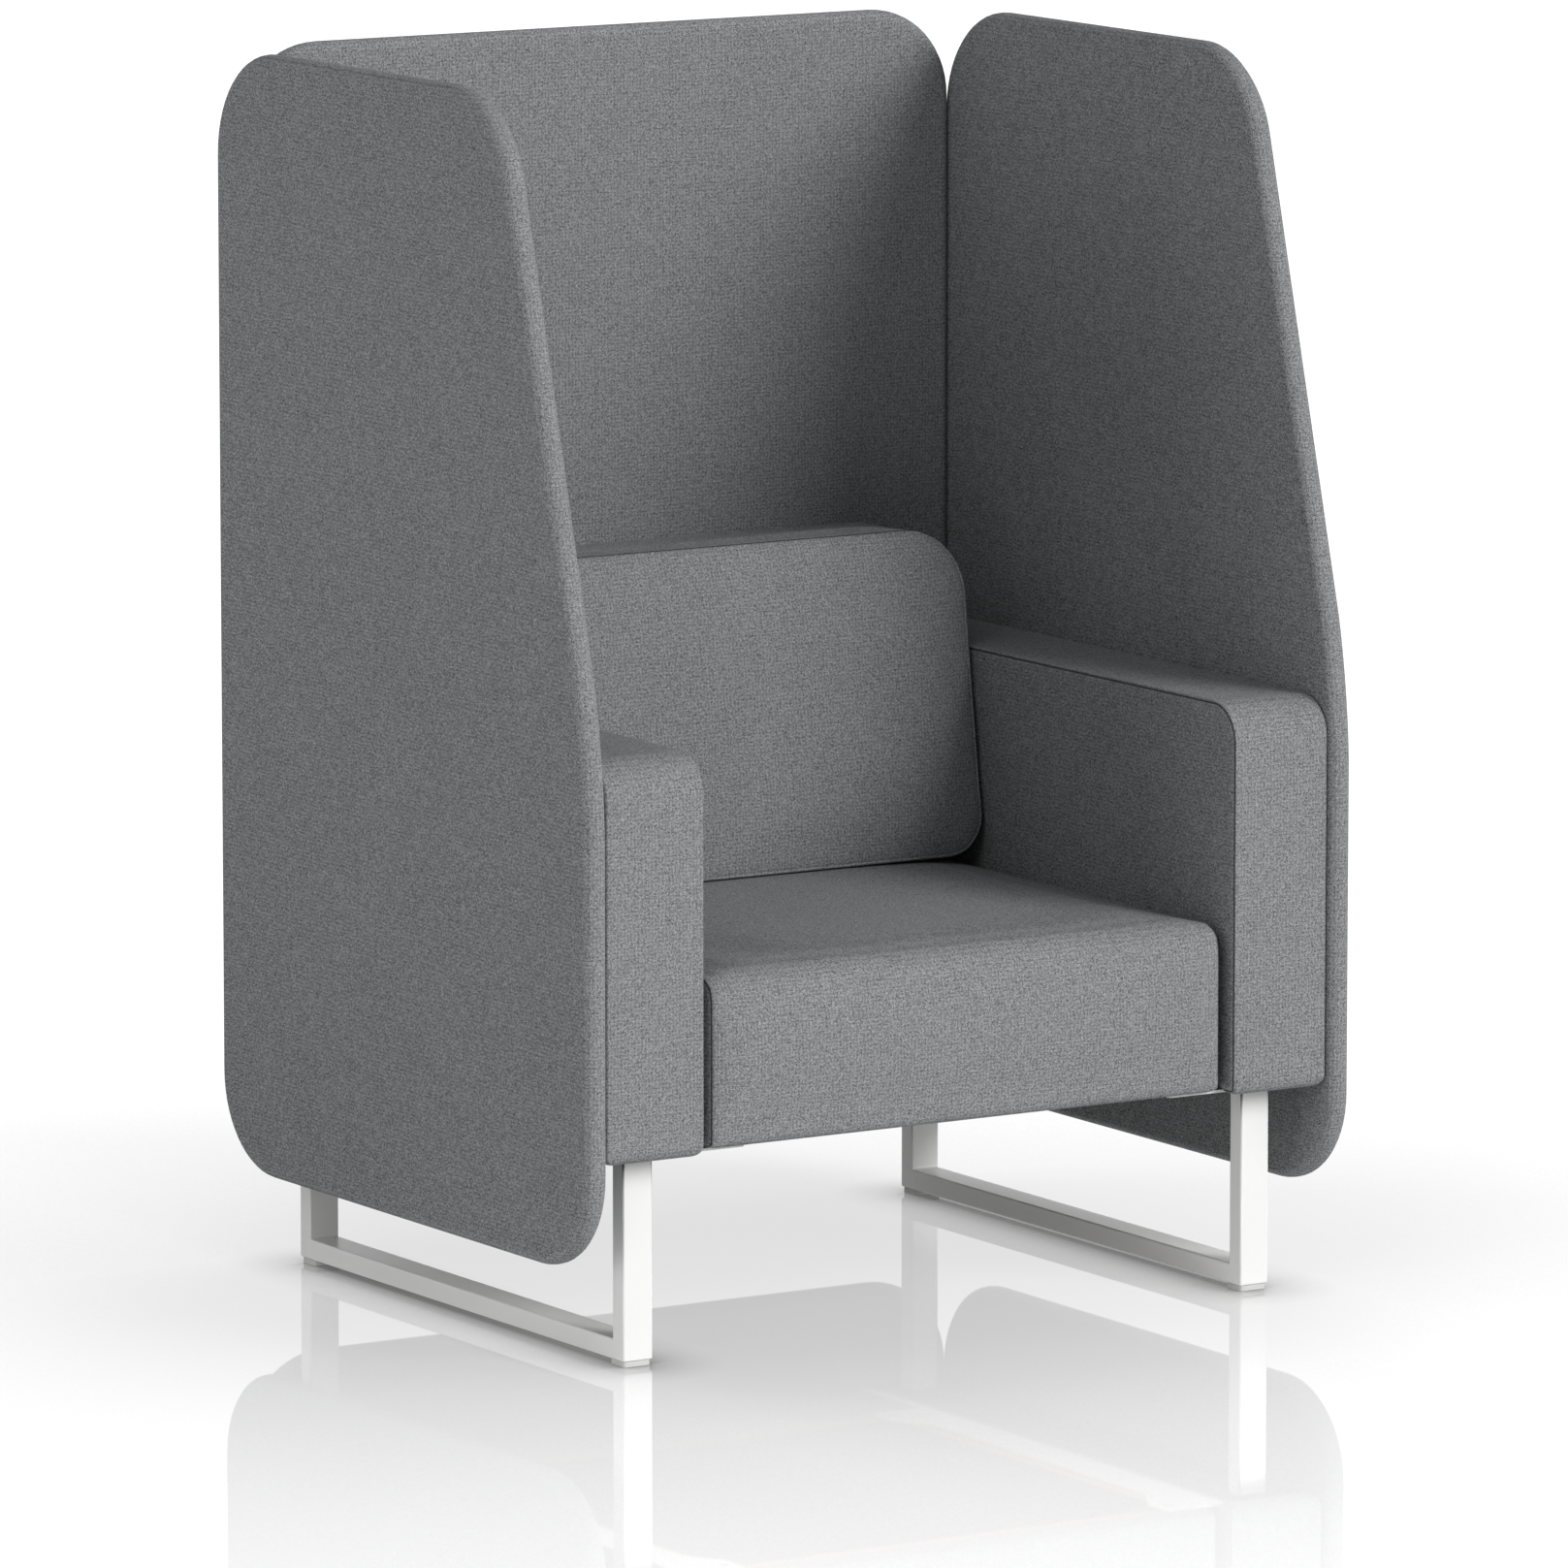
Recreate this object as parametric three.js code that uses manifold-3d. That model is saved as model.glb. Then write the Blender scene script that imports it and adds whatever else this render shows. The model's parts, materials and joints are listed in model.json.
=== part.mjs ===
// Acoustic high back lounge chair: two tall upholstered side screens and a back screen
// round an armchair that stands on two sled legs.
// Millimetres, +Z up. The sitter faces -Y. Left and right are as seen from the front,
// so left is -X. The origin is on the floor, under the middle of the chair's outer size.

import * as THREE from 'three';
import { mergeVertices } from 'three/addons/utils/BufferGeometryUtils.js';
import Module from 'manifold-3d';

// Whole chair
const chairWidth = 1008;
const chairDepth = 828;
const chairHeight = 1400;

// Gaps and roundings that many pieces share
const restGap = 0.3;
const softGap = 0.8;
const overrun = 20;
const windowRadius = 18;
const mergeTolerance = 0.0005;

// Side screens and back screen
const screenThickness = 28;
const screenFloorGap = 115;
const backScreenCornerRadius = 104;
const screenEdgeRadius = 12;
const screenBoardThickness = 9;
const screenBoardInset = 16;
const wingBendHeight = 690;
const wingBendRadius = 700;
const wingTopSetback = 192;
const wingLowerRadius = 111;
const wingRearTopRadius = 122;
const wingFrontTopRadius = 126;
const backScreenProud = 10;

// Arms
const armWidth = 125.8;
const armFrontSetback = 8;
const armTopHeight = 682;
const armUndersideHeight = 235.5;
const armFrontTopRadius = 46;
const armLowerRadius = 12;
const armRearRadius = 8;
const armBandThickness = 20;
const armBandEdgeRadius = 3;
const armSeamSetback = 3.5;
const armPanelThickness = 5;
const armPanelEdgeRadius = 1;
const armPlyThickness = 12;
const armRailDepth = 30;
const armWindowMargin = 70;
const armStileWidth = 60;
const armCoverThickness = 1;
const armCoverInset = 12;

// Seat
const seatToArm = 12;
const seatFrontSetback = 14;
const seatBlockHeight = 193;
const seatCrown = 9;
const seatCrownDeep = 3;
const seatFrontSwell = 4;
const seatSideDraw = 2.5;
const seatEdgeRadius = 6;
const seatFrontUpperRadius = 28;
const seatFrontLowerRadius = 24;
const seatRearRadius = 8;
const seatWall = 25;
const seatRearWall = 6;
const seatRailWidth = 25;
const seatRailHeight = 80;
const seatRailEdgeRadius = 1.5;
const seatBeamWidth = 45;
const seatBeamHeight = 34;
const seatPocketSlack = 5;
const seatCoverThickness = 1;
const seatCoverLap = 6;

// Backrest
const backLeanDegrees = 8.3;
const backrestDepth = 137.4;
const backCushionToArm = 4;
const backCushionHeight = 383;
const backCushionThickness = 150;
const backCushionTopDrop = 17;
const backCushionCrown = 8;
const backCushionSideBulge = 2.5;
const backCushionEdgeRadius = 12;
const backCushionUpperCornerRadius = 80;
const backCushionLowerCornerRadius = 38;
const backrestBelowCushion = 8;
const backrestPadThickness = 8;
const backrestEdgeRadius = 5;
const backrestRailHeight = 60;
const backrestCheekWidth = 40;
const backrestShelfThickness = 22;

// Webbing
const webbingWidth = 50;
const webbingThickness = 1.6;
const webbingWave = 1.3;

// Sled legs
const tubeWidth = 38;
const tubeDepth = 23.5;
const tubeWall = 2;
const tubeCornerRadius = 2.5;
const legToArmFront = 44;
const legToArmRear = 29.2;
const legToArmSide = 47.5;
const legFloorGap = 6.8;
const weldGap = 0.3;

// Mounting plates
const plateThickness = 3;
const plateFrontOverhang = 17;
const plateRearOverhang = 26;
const plateStripWidth = 80;
const plateFlangeReach = 37;
const plateEarReach = 30;
const plateEarLength = 41;
const plateEarFlare = 48;
const plateFlangeRearSetback = 133;
const plateCornerRadius = 4;
const plateToArmCover = 1.3;

// Glides and fixings
const glideWidth = 34;
const glideLength = 29;
const glideInset = 2;
const glideCornerRadius = 3;
const glideEdgeRadius = 1;
const screwHeadRadius = 6;
const screwShankRadius = 3;
const screwHeadHeight = 2.6;
const screwLength = 20;
const screwSlack = 0.3;
const seatScrewFromEarEdge = 14;
const armScrewFromPost = 60;
const boltShankRadius = 4;
const boltHeadRadius = 7;
const boltHeadHeight = 5;
const boltTipSetback = 1;
const boltBelowArmTop = 70;
const boltFromArmEnds = 150;

// Counts
const arcSteps = 8;
const smallArcSteps = 4;
const edgeSteps = 3;
const padCornerSteps = 5;
const padSideSteps = 7;
const padFaceShares = [0.35, 0.7];
const seatWallSteps = 8;
const backCushionWallSteps = 2;
const screwSides = 12;
const hexSides = 6;
const legwiseStraps = 4;
const crosswiseStraps = 3;
const backStraps = 3;
const stepsPerWave = 6;

// Levels and places that follow from the sizes above
const frontY = -chairDepth / 2;
const rearY = chairDepth / 2;
const wingRearY = rearY - backScreenProud;
const wingInnerX = chairWidth / 2 - screenThickness;
const backScreenFrontY = rearY - screenThickness;

const armOuterX = wingInnerX - softGap;
const armInnerX = armOuterX - armWidth;
const armFrontY = frontY + armFrontSetback;
const armRearY = backScreenFrontY - softGap;

const plateBottomZ = armUndersideHeight + plateToArmCover;
const plateTopZ = plateBottomZ + plateThickness;

const seatWidth = 2 * (armInnerX - seatToArm);
const seatBottomZ = plateTopZ + restGap;
const seatFrontY = frontY + seatFrontSetback;
const backrestFrontY = armRearY - backrestDepth;
const seatRearY = backrestFrontY - softGap;
const seatDepth = seatRearY - seatFrontY;
const seatTopZ = seatBottomZ + seatBlockHeight + seatCrown;
const seatFrameBottomZ = seatBottomZ + seatCoverThickness + restGap;
const seatFrameTopZ = seatFrameBottomZ + seatRailHeight;
const seatPocketTopZ = seatFrameTopZ + 2 * (webbingWave + webbingThickness) + seatPocketSlack;

const leanSlope = Math.tan(THREE.MathUtils.degToRad(backLeanDegrees));
const backCushionWidth = 2 * (armInnerX - backCushionToArm);
const backCushionBottomZ = seatTopZ + softGap;
const backCushionFrontY = seatRearY - backCushionThickness;
const backrestKneeZ = backCushionBottomZ;
const backCushionRearTopZ = backCushionBottomZ + backCushionHeight - backCushionTopDrop;
const backrestTopZ = backCushionRearTopZ - backrestBelowCushion;

const postOuterX = armOuterX - legToArmSide;
const legFrontY = armFrontY + legToArmFront;
const legRearY = armRearY - legToArmRear;

const wood = { colour: 0xc9ab7c, roughness: 0.7, metalness: 0 };
const fabric = { colour: 0x7f8183, roughness: 0.95, metalness: 0 };
const darkCloth = { colour: 0x2b2c2e, roughness: 0.9, metalness: 0 };
const strapCloth = { colour: 0x3a3936, roughness: 0.85, metalness: 0 };
const paintedSteel = { colour: 0xf1f1ef, roughness: 0.35, metalness: 0.1 };
const glidePlastic = { colour: 0xd9d9d6, roughness: 0.5, metalness: 0 };
const zincSteel = { colour: 0xb4b6b8, roughness: 0.35, metalness: 0.9 };

const wasm = await Module();
wasm.setup();

// Solids: joining and cutting closed meshes

function toSolid(geometry) {
  const bare = geometry.clone();
  bare.deleteAttribute('normal');
  bare.deleteAttribute('uv');
  const merged = mergeVertices(bare, mergeTolerance);
  return new wasm.Manifold(new wasm.Mesh({
    numProp: 3,
    vertProperties: new Float32Array(merged.getAttribute('position').array),
    triVerts: new Uint32Array(merged.getIndex().array),
  }));
}

function toGeometry(solid) {
  const mesh = solid.getMesh();
  const geometry = new THREE.BufferGeometry();
  geometry.setAttribute('position', new THREE.BufferAttribute(mesh.vertProperties, 3));
  geometry.setIndex(new THREE.BufferAttribute(mesh.triVerts, 1));
  return geometry;
}

function cut(base, tools) {
  const cutter = (solid, tool) => solid.subtract(toSolid(tool));
  return toGeometry(tools.reduce(cutter, toSolid(base)));
}

function join(base, others) {
  const joiner = (solid, other) => solid.add(toSolid(other));
  return toGeometry(others.reduce(joiner, toSolid(base)));
}

function common(base, other) {
  return toGeometry(toSolid(base).intersect(toSolid(other)));
}

function mirrored(geometry) {
  const flipped = geometry.clone().scale(-1, 1, 1);
  const index = flipped.getIndex() ?? countedIndex(flipped);
  for (let i = 0; i < index.count; i += 3) {
    const first = index.getX(i);
    index.setX(i, index.getX(i + 2));
    index.setX(i + 2, first);
  }
  flipped.setIndex(index);
  return flipped;
}

function countedIndex(geometry) {
  const count = geometry.getAttribute('position').count;
  return new THREE.BufferAttribute(Uint32Array.from({ length: count }, (_, i) => i), 1);
}

// Outlines: polygons with a radius at each corner, listed anticlockwise

function corner(u, v, radius = 0) {
  return { place: new THREE.Vector2(u, v), radius };
}

function roundedOutline(corners, steps = arcSteps) {
  return corners.flatMap(({ place, radius }, i) => {
    if (radius <= 0) return [place.clone()];
    const before = corners.at(i - 1).place.clone().sub(place).normalize();
    const after = corners[(i + 1) % corners.length].place.clone().sub(place).normalize();
    const halfAngle = Math.acos(before.dot(after)) / 2;
    const middle = before.clone().add(after).normalize();
    const centre = place.clone().addScaledVector(middle, radius / Math.sin(halfAngle));
    const reach = radius / Math.tan(halfAngle);
    const start = place.clone().addScaledVector(before, reach).sub(centre);
    const turn = Math.sign(after.cross(before)) * (Math.PI - 2 * halfAngle);
    return Array.from({ length: steps + 1 }, (_, k) => (
      start.clone().rotateAround(new THREE.Vector2(), turn * k / steps).add(centre)
    ));
  });
}

function edgeLine(from, to, distance) {
  const along = to.place.clone().sub(from.place).normalize();
  const inward = new THREE.Vector2(-along.y, along.x);
  return { point: from.place.clone().addScaledVector(inward, distance), along };
}

function insetCorners(corners, distance) {
  return corners.map((here, i) => {
    const before = edgeLine(corners.at(i - 1), here, distance);
    const after = edgeLine(here, corners[(i + 1) % corners.length], distance);
    const turn = before.along.cross(after.along);
    const reach = after.point.clone().sub(before.point).cross(after.along) / turn;
    const place = before.point.clone().addScaledVector(before.along, reach);
    const radius = here.radius > 0 ? Math.max(here.radius - Math.sign(turn) * distance, 0) : 0;
    return { place, radius };
  });
}

function boxCorners(fromU, toU, fromV, toV, radius = 0) {
  return [
    corner(fromU, fromV, radius),
    corner(toU, fromV, radius),
    corner(toU, toV, radius),
    corner(fromU, toV, radius),
  ];
}

// Solids from an outline. The outline lies in Y and Z for axis x, in X and Z for axis y
// and in X and Y for axis z, and the solid fills from one place on the axis to the other.

const axisX = new THREE.Vector3(1, 0, 0);
const axisY = new THREE.Vector3(0, 1, 0);
const axisZ = new THREE.Vector3(0, 0, 1);
const turns = {
  x: new THREE.Matrix4().makeBasis(axisY, axisZ, axisX),
  y: new THREE.Matrix4().makeBasis(axisX, axisZ, axisY.clone().negate()),
  z: new THREE.Matrix4(),
};

function slab(outline, axis, from, to, edgeRadius = 0) {
  const geometry = new THREE.ExtrudeGeometry(new THREE.Shape(outline), {
    depth: to - from - 2 * edgeRadius,
    bevelEnabled: edgeRadius > 0,
    bevelThickness: edgeRadius,
    bevelSize: edgeRadius,
    bevelOffset: -edgeRadius,
    bevelSegments: edgeSteps,
  });
  geometry.translate(0, 0, edgeRadius);
  geometry.applyMatrix4(turns[axis]);
  if (axis === 'x') return geometry.translate(from, 0, 0);
  if (axis === 'y') return geometry.translate(0, to, 0);
  return geometry.translate(0, 0, from);
}

function block(fromX, toX, fromY, toY, fromZ, toZ) {
  return slab(roundedOutline(boxCorners(fromX, toX, fromY, toY)), 'z', fromZ, toZ);
}

// Soft pads: rings of points that run from the middle of the front face, over its rim,
// along the sides and over the rear rim to the middle of the rear face

function padOutline(corners, inset) {
  const outline = roundedOutline(insetCorners(corners, inset), padCornerSteps);
  return outline.flatMap((point, i) => {
    if (i % (padCornerSteps + 1) < padCornerSteps) return [point];
    const next = outline[(i + 1) % outline.length];
    return Array.from({ length: padSideSteps }, (_, k) => (
      point.clone().lerp(next, k / padSideSteps)
    ));
  });
}

function padRing(corners, inset, y, share = 1) {
  return padOutline(corners, inset).map((point) => (
    new THREE.Vector3(point.x * share, y, point.y * share)
  ));
}

function rimRings(corners, faceY, inwards, radius) {
  return Array.from({ length: edgeSteps + 1 }, (_, k) => {
    const angle = Math.PI / 2 * k / edgeSteps;
    const y = faceY + inwards * radius * (1 - Math.cos(angle));
    return padRing(corners, radius * (1 - Math.sin(angle)), y);
  });
}

function softPad({ size, corners, edgeRadius, wallSteps }) {
  const halves = size.clone().divideScalar(2);
  const wallFrom = -halves.y + edgeRadius;
  const wallTo = halves.y - edgeRadius;
  const wallLevels = Array.from({ length: wallSteps - 1 }, (_, k) => (
    wallFrom + (wallTo - wallFrom) * (k + 1) / wallSteps
  ));
  const rings = [
    ...padFaceShares.map((share) => padRing(corners, edgeRadius, -halves.y, share)),
    ...rimRings(corners, -halves.y, 1, edgeRadius),
    ...wallLevels.map((y) => padRing(corners, 0, y)),
    ...rimRings(corners, halves.y, -1, edgeRadius).reverse(),
    ...padFaceShares.toReversed().map((share) => padRing(corners, edgeRadius, halves.y, share)),
  ];
  const ends = [-1, 1].map((side) => new THREE.Vector3(0, side * halves.y, 0));
  const geometry = new THREE.BufferGeometry().setFromPoints([...rings.flat(), ...ends]);
  return geometry.setIndex(ringTriangles(rings.length, rings[0].length));
}

function swollen(geometry, size, swell) {
  const halves = size.clone().divideScalar(2);
  const places = geometry.getAttribute('position');
  for (let i = 0; i < places.count; i += 1) {
    const point = new THREE.Vector3().fromBufferAttribute(places, i);
    swell(point, point.clone().divide(halves));
    places.setXYZ(i, point.x, point.y, point.z);
  }
  return geometry;
}

function ringTriangles(ringCount, count) {
  const frontEnd = ringCount * count;
  const triangles = [];
  for (let i = 0; i < count; i += 1) {
    const next = (i + 1) % count;
    triangles.push(frontEnd, i, next);
    for (let ring = 0; ring < ringCount - 1; ring += 1) {
      const here = ring * count;
      const beyond = here + count;
      triangles.push(here + i, beyond + i, beyond + next);
      triangles.push(here + i, beyond + next, here + next);
    }
    const last = (ringCount - 1) * count;
    triangles.push(frontEnd + 1, last + next, last + i);
  }
  return triangles;
}

function padCorners(width, height, lowerRadius, upperRadius) {
  const [halfWidth, halfHeight] = [width / 2, height / 2];
  return [
    corner(-halfWidth, -halfHeight, lowerRadius),
    corner(halfWidth, -halfHeight, lowerRadius),
    corner(halfWidth, halfHeight, upperRadius),
    corner(-halfWidth, halfHeight, upperRadius),
  ];
}

function bulge(share, power = 2) {
  return Math.max(1 - Math.abs(share) ** power, 0);
}

// Screens: a board between two foam pads that meet round its edge

function wingCorners() {
  return [
    corner(frontY, screenFloorGap, wingLowerRadius),
    corner(wingRearY, screenFloorGap, wingLowerRadius),
    corner(wingRearY, chairHeight, wingRearTopRadius),
    corner(frontY + wingTopSetback, chairHeight, wingFrontTopRadius),
    corner(frontY, wingBendHeight, wingBendRadius),
  ];
}

function backScreenCorners() {
  const halfWidth = wingInnerX - restGap;
  return boxCorners(-halfWidth, halfWidth, screenFloorGap, chairHeight, backScreenCornerRadius);
}

function screenBoard(corners, axis, middle) {
  const outline = roundedOutline(insetCorners(corners, screenBoardInset));
  const half = screenBoardThickness / 2;
  return slab(outline, axis, middle - half, middle + half);
}

function screenPad(corners, axis, from, to, side) {
  const whole = slab(roundedOutline(corners), axis, from, to, screenEdgeRadius);
  const middle = (from + to) / 2;
  const pocketCorners = insetCorners(corners, screenBoardInset - restGap);
  const pocketHalf = screenBoardThickness / 2 + restGap;
  const pocket = slab(roundedOutline(pocketCorners), axis, middle - pocketHalf, middle + pocketHalf);
  const seam = middle + side * restGap / 2;
  const otherFrom = side > 0 ? from - overrun : seam;
  const otherTo = side > 0 ? seam : to + overrun;
  const otherHalf = slab(roundedOutline(insetCorners(corners, -overrun)), axis, otherFrom, otherTo);
  return cut(whole, [otherHalf, pocket]);
}

// Fixings

function screwProfile(slack) {
  const tipZ = plateBottomZ + screwLength + slack;
  return [
    new THREE.Vector2(0, plateBottomZ - slack),
    new THREE.Vector2(screwHeadRadius + 2 * slack, plateBottomZ - slack),
    new THREE.Vector2(screwShankRadius + slack, plateBottomZ + screwHeadHeight),
    new THREE.Vector2(screwShankRadius + slack, tipZ - screwShankRadius / 2),
    new THREE.Vector2(0, tipZ),
  ];
}

function screw(place, slack = 0) {
  const geometry = new THREE.LatheGeometry(screwProfile(slack), screwSides);
  geometry.rotateX(Math.PI / 2);
  return geometry.translate(place.x, place.y, 0);
}

const frameInnerX = armInnerX + armPanelThickness + restGap;
const frameOuterX = armOuterX - armPanelThickness - restGap;
const frameTopZ = armTopHeight - armBandThickness - restGap;
const wingBoardMiddleX = (chairWidth - screenThickness) / 2;

function boltPlaces() {
  const z = armTopHeight - boltBelowArmTop;
  return {
    front: { y: armFrontY + boltFromArmEnds, z },
    rear: { y: armRearY - boltFromArmEnds, z },
  };
}

function boltAcross(profile, sides, place) {
  const geometry = new THREE.LatheGeometry(profile, sides);
  geometry.rotateZ(-Math.PI / 2);
  return geometry.translate(0, place.y, place.z);
}

function wingBolt(place) {
  const headX = frameOuterX - armPlyThickness - restGap;
  const tipX = wingBoardMiddleX + screenBoardThickness / 2 - boltTipSetback;
  return join(
    boltAcross(roundBar(boltHeadRadius, headX - boltHeadHeight, headX), hexSides, place),
    [boltAcross(roundBar(boltShankRadius, headX - boltHeadHeight / 2, tipX), screwSides, place)],
  );
}

function boltHole(place) {
  const profile = roundBar(boltShankRadius + screwSlack, 0, chairWidth);
  return boltAcross(profile, screwSides, place);
}

function roundBar(radius, from, to) {
  return [
    new THREE.Vector2(0, from),
    new THREE.Vector2(radius, from),
    new THREE.Vector2(radius, to),
    new THREE.Vector2(0, to),
  ];
}

function boltTools(pieceFromX, pieceToX) {
  const slice = (place) => {
    const outline = roundedOutline(boxCorners(
      place.y - boltHeadRadius, place.y + boltHeadRadius,
      place.z - boltHeadRadius, place.z + boltHeadRadius,
    ));
    const room = slab(outline, 'x', pieceFromX - restGap, pieceToX + restGap);
    return toGeometry(toSolid(boltHole(place)).intersect(toSolid(room)));
  };
  return Object.values(boltPlaces()).map(slice);
}

// Side screens

function wingBoard() {
  const half = screenBoardThickness / 2;
  const board = screenBoard(wingCorners(), 'x', wingBoardMiddleX);
  return cut(board, boltTools(wingBoardMiddleX - half, wingBoardMiddleX + half));
}

function wingOuterPad() {
  return screenPad(wingCorners(), 'x', wingInnerX, chairWidth / 2, 1);
}

function wingInnerPad() {
  const pad = screenPad(wingCorners(), 'x', wingInnerX, chairWidth / 2, -1);
  return cut(pad, boltTools(wingInnerX, wingBoardMiddleX));
}

// Arms: a plywood carcass, a band of foam over its front and top, and two side panels

function armCorners() {
  return [
    corner(armFrontY, armUndersideHeight, armLowerRadius),
    corner(armRearY, armUndersideHeight, armRearRadius),
    corner(armRearY, armTopHeight, armRearRadius),
    corner(armFrontY, armTopHeight, armFrontTopRadius),
  ];
}

function armFrameCorners(bandGap) {
  const front = armFrontY + armBandThickness + bandGap;
  const top = armTopHeight - armBandThickness - bandGap;
  return [
    corner(front, seatBottomZ),
    corner(armRearY - restGap, seatBottomZ),
    corner(armRearY - restGap, top),
    corner(front, top, armFrontTopRadius - armBandThickness),
  ];
}

function armPanelCorners(clearance = 0) {
  const [front, rear, rearTop, frontTop] = insetCorners(armCorners(), armSeamSetback - clearance);
  const bottom = seatBottomZ - clearance;
  return [
    corner(front.place.x, bottom),
    corner(rear.place.x, bottom),
    rearTop,
    frontTop,
  ];
}

function armFrontOutline() {
  const above = armTopHeight + overrun;
  return roundedOutline([
    corner(armInnerX, armUndersideHeight, armLowerRadius),
    corner(armOuterX, armUndersideHeight, armLowerRadius),
    corner(armOuterX, above),
    corner(armInnerX, above),
  ]);
}

function withLowerRounding(geometry) {
  const outline = armFrontOutline();
  return common(geometry, slab(outline, 'y', armFrontY - overrun, armRearY + overrun));
}

function armBand() {
  const arm = roundedOutline(armCorners());
  const whole = slab(arm, 'x', armInnerX, armOuterX, armBandEdgeRadius);
  const front = armFrontY + armBandThickness;
  const top = armTopHeight - armBandThickness;
  const core = roundedOutline([
    corner(front, armUndersideHeight - overrun),
    corner(armRearY + overrun, armUndersideHeight - overrun),
    corner(armRearY + overrun, top),
    corner(front, top, armFrontTopRadius - armBandThickness),
  ]);
  const [panelFront, , rearTop, frontTop] = armPanelCorners(restGap);
  const besidePanel = roundedOutline([
    corner(panelFront.place.x, panelFront.place.y),
    corner(armRearY + overrun, panelFront.place.y),
    corner(armRearY + overrun, rearTop.place.y),
    frontTop,
  ]);
  return withLowerRounding(cut(whole, [
    slab(core, 'x', armInnerX - overrun, armOuterX + overrun),
    slab(besidePanel, 'x', armInnerX - overrun, frameInnerX),
    slab(besidePanel, 'x', frameOuterX, armOuterX + overrun),
  ]));
}

function armWindows(corners) {
  const inner = insetCorners(corners, armWindowMargin).map(({ place }) => place);
  const [fromY, toY] = [inner[0].x, inner[1].x];
  const [fromZ, toZ] = [inner[0].y, inner[2].y];
  const middle = (fromY + toY) / 2;
  const halfStile = armStileWidth / 2;
  return [
    boxCorners(fromY, middle - halfStile, fromZ, toZ, windowRadius),
    boxCorners(middle + halfStile, toY, fromZ, toZ, windowRadius),
  ].map((window) => (
    slab(roundedOutline(window, smallArcSteps), 'x', armInnerX - overrun, armOuterX + overrun)
  ));
}

function armFrame() {
  const corners = armFrameCorners(restGap);
  const whole = slab(roundedOutline(corners, smallArcSteps), 'x', frameInnerX, frameOuterX);
  const room = roundedOutline(insetCorners(corners, armRailDepth), smallArcSteps);
  const hollow = slab(room, 'x', frameInnerX + armPlyThickness, frameOuterX - armPlyThickness);
  return cut(whole, [
    hollow,
    ...armWindows(corners),
    ...boltTools(frameOuterX - armPlyThickness, frameOuterX),
    ...armScrewPlaces().map((place) => screw(place, screwSlack)),
  ]);
}

function armPanel(fromX) {
  const outline = roundedOutline(armPanelCorners());
  const panel = slab(outline, 'x', fromX, fromX + armPanelThickness, armPanelEdgeRadius);
  return withLowerRounding(panel);
}

function armOuterPanel() {
  const fromX = armOuterX - armPanelThickness;
  return cut(armPanel(fromX), boltTools(fromX, armOuterX));
}

function armCover() {
  const outline = roundedOutline(boxCorners(
    armInnerX + armCoverInset,
    frameOuterX,
    armFrontY + armBandThickness + restGap,
    armRearY - restGap,
  ));
  const cover = slab(outline, 'z', armUndersideHeight, armUndersideHeight + armCoverThickness);
  const post = (fromY) => block(
    postOuterX - tubeWidth - restGap,
    postOuterX + restGap,
    fromY - restGap,
    fromY + tubeDepth + restGap,
    armUndersideHeight - overrun,
    armUndersideHeight + overrun,
  );
  return cut(cover, [post(legFrontY), post(legRearY - tubeDepth)]);
}

// Sled legs: a floor bar and two posts of flat tube, mitred and welded, under a steel plate

function tube(outline, axis, from, to) {
  const bore = roundedOutline(insetCorners(outline, tubeWall), smallArcSteps);
  return cut(
    slab(roundedOutline(outline, smallArcSteps), axis, from, to),
    [slab(bore, axis, from - overrun, to + overrun)],
  );
}

function mitreCutter(outerY, inwards, below) {
  const shift = weldGap / 2 * Math.SQRT2;
  const reach = tubeDepth + overrun;
  const bottomZ = legFloorGap;
  const shiftedZ = bottomZ + (below ? shift : -shift);
  const start = corner(outerY - inwards * overrun, shiftedZ - overrun);
  const end = corner(outerY + inwards * reach, shiftedZ + reach);
  const third = below
    ? corner(outerY + inwards * reach, shiftedZ - overrun)
    : corner(outerY - inwards * overrun, shiftedZ + reach);
  const outline = [start.place, end.place, third.place];
  return slab(outline, 'x', postOuterX - tubeWidth - overrun, postOuterX + overrun);
}

function legFloorBar() {
  const outline = boxCorners(
    postOuterX - tubeWidth, postOuterX, legFloorGap, legFloorGap + tubeDepth, tubeCornerRadius,
  );
  return cut(
    tube(outline, 'y', legFrontY, legRearY),
    [mitreCutter(legFrontY, 1, false), mitreCutter(legRearY, -1, false)],
  );
}

function legPost(outerY, inwards) {
  const innerY = outerY + inwards * tubeDepth;
  const outline = boxCorners(
    postOuterX - tubeWidth,
    postOuterX,
    Math.min(outerY, innerY),
    Math.max(outerY, innerY),
    tubeCornerRadius,
  );
  return cut(
    tube(outline, 'z', legFloorGap, plateBottomZ - restGap),
    [mitreCutter(outerY, inwards, true)],
  );
}

function plateEnds() {
  const front = legFrontY - plateFrontOverhang;
  const rear = legRearY + plateRearOverhang;
  return { front, rear, flangeRear: rear - plateFlangeRearSetback };
}

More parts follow.
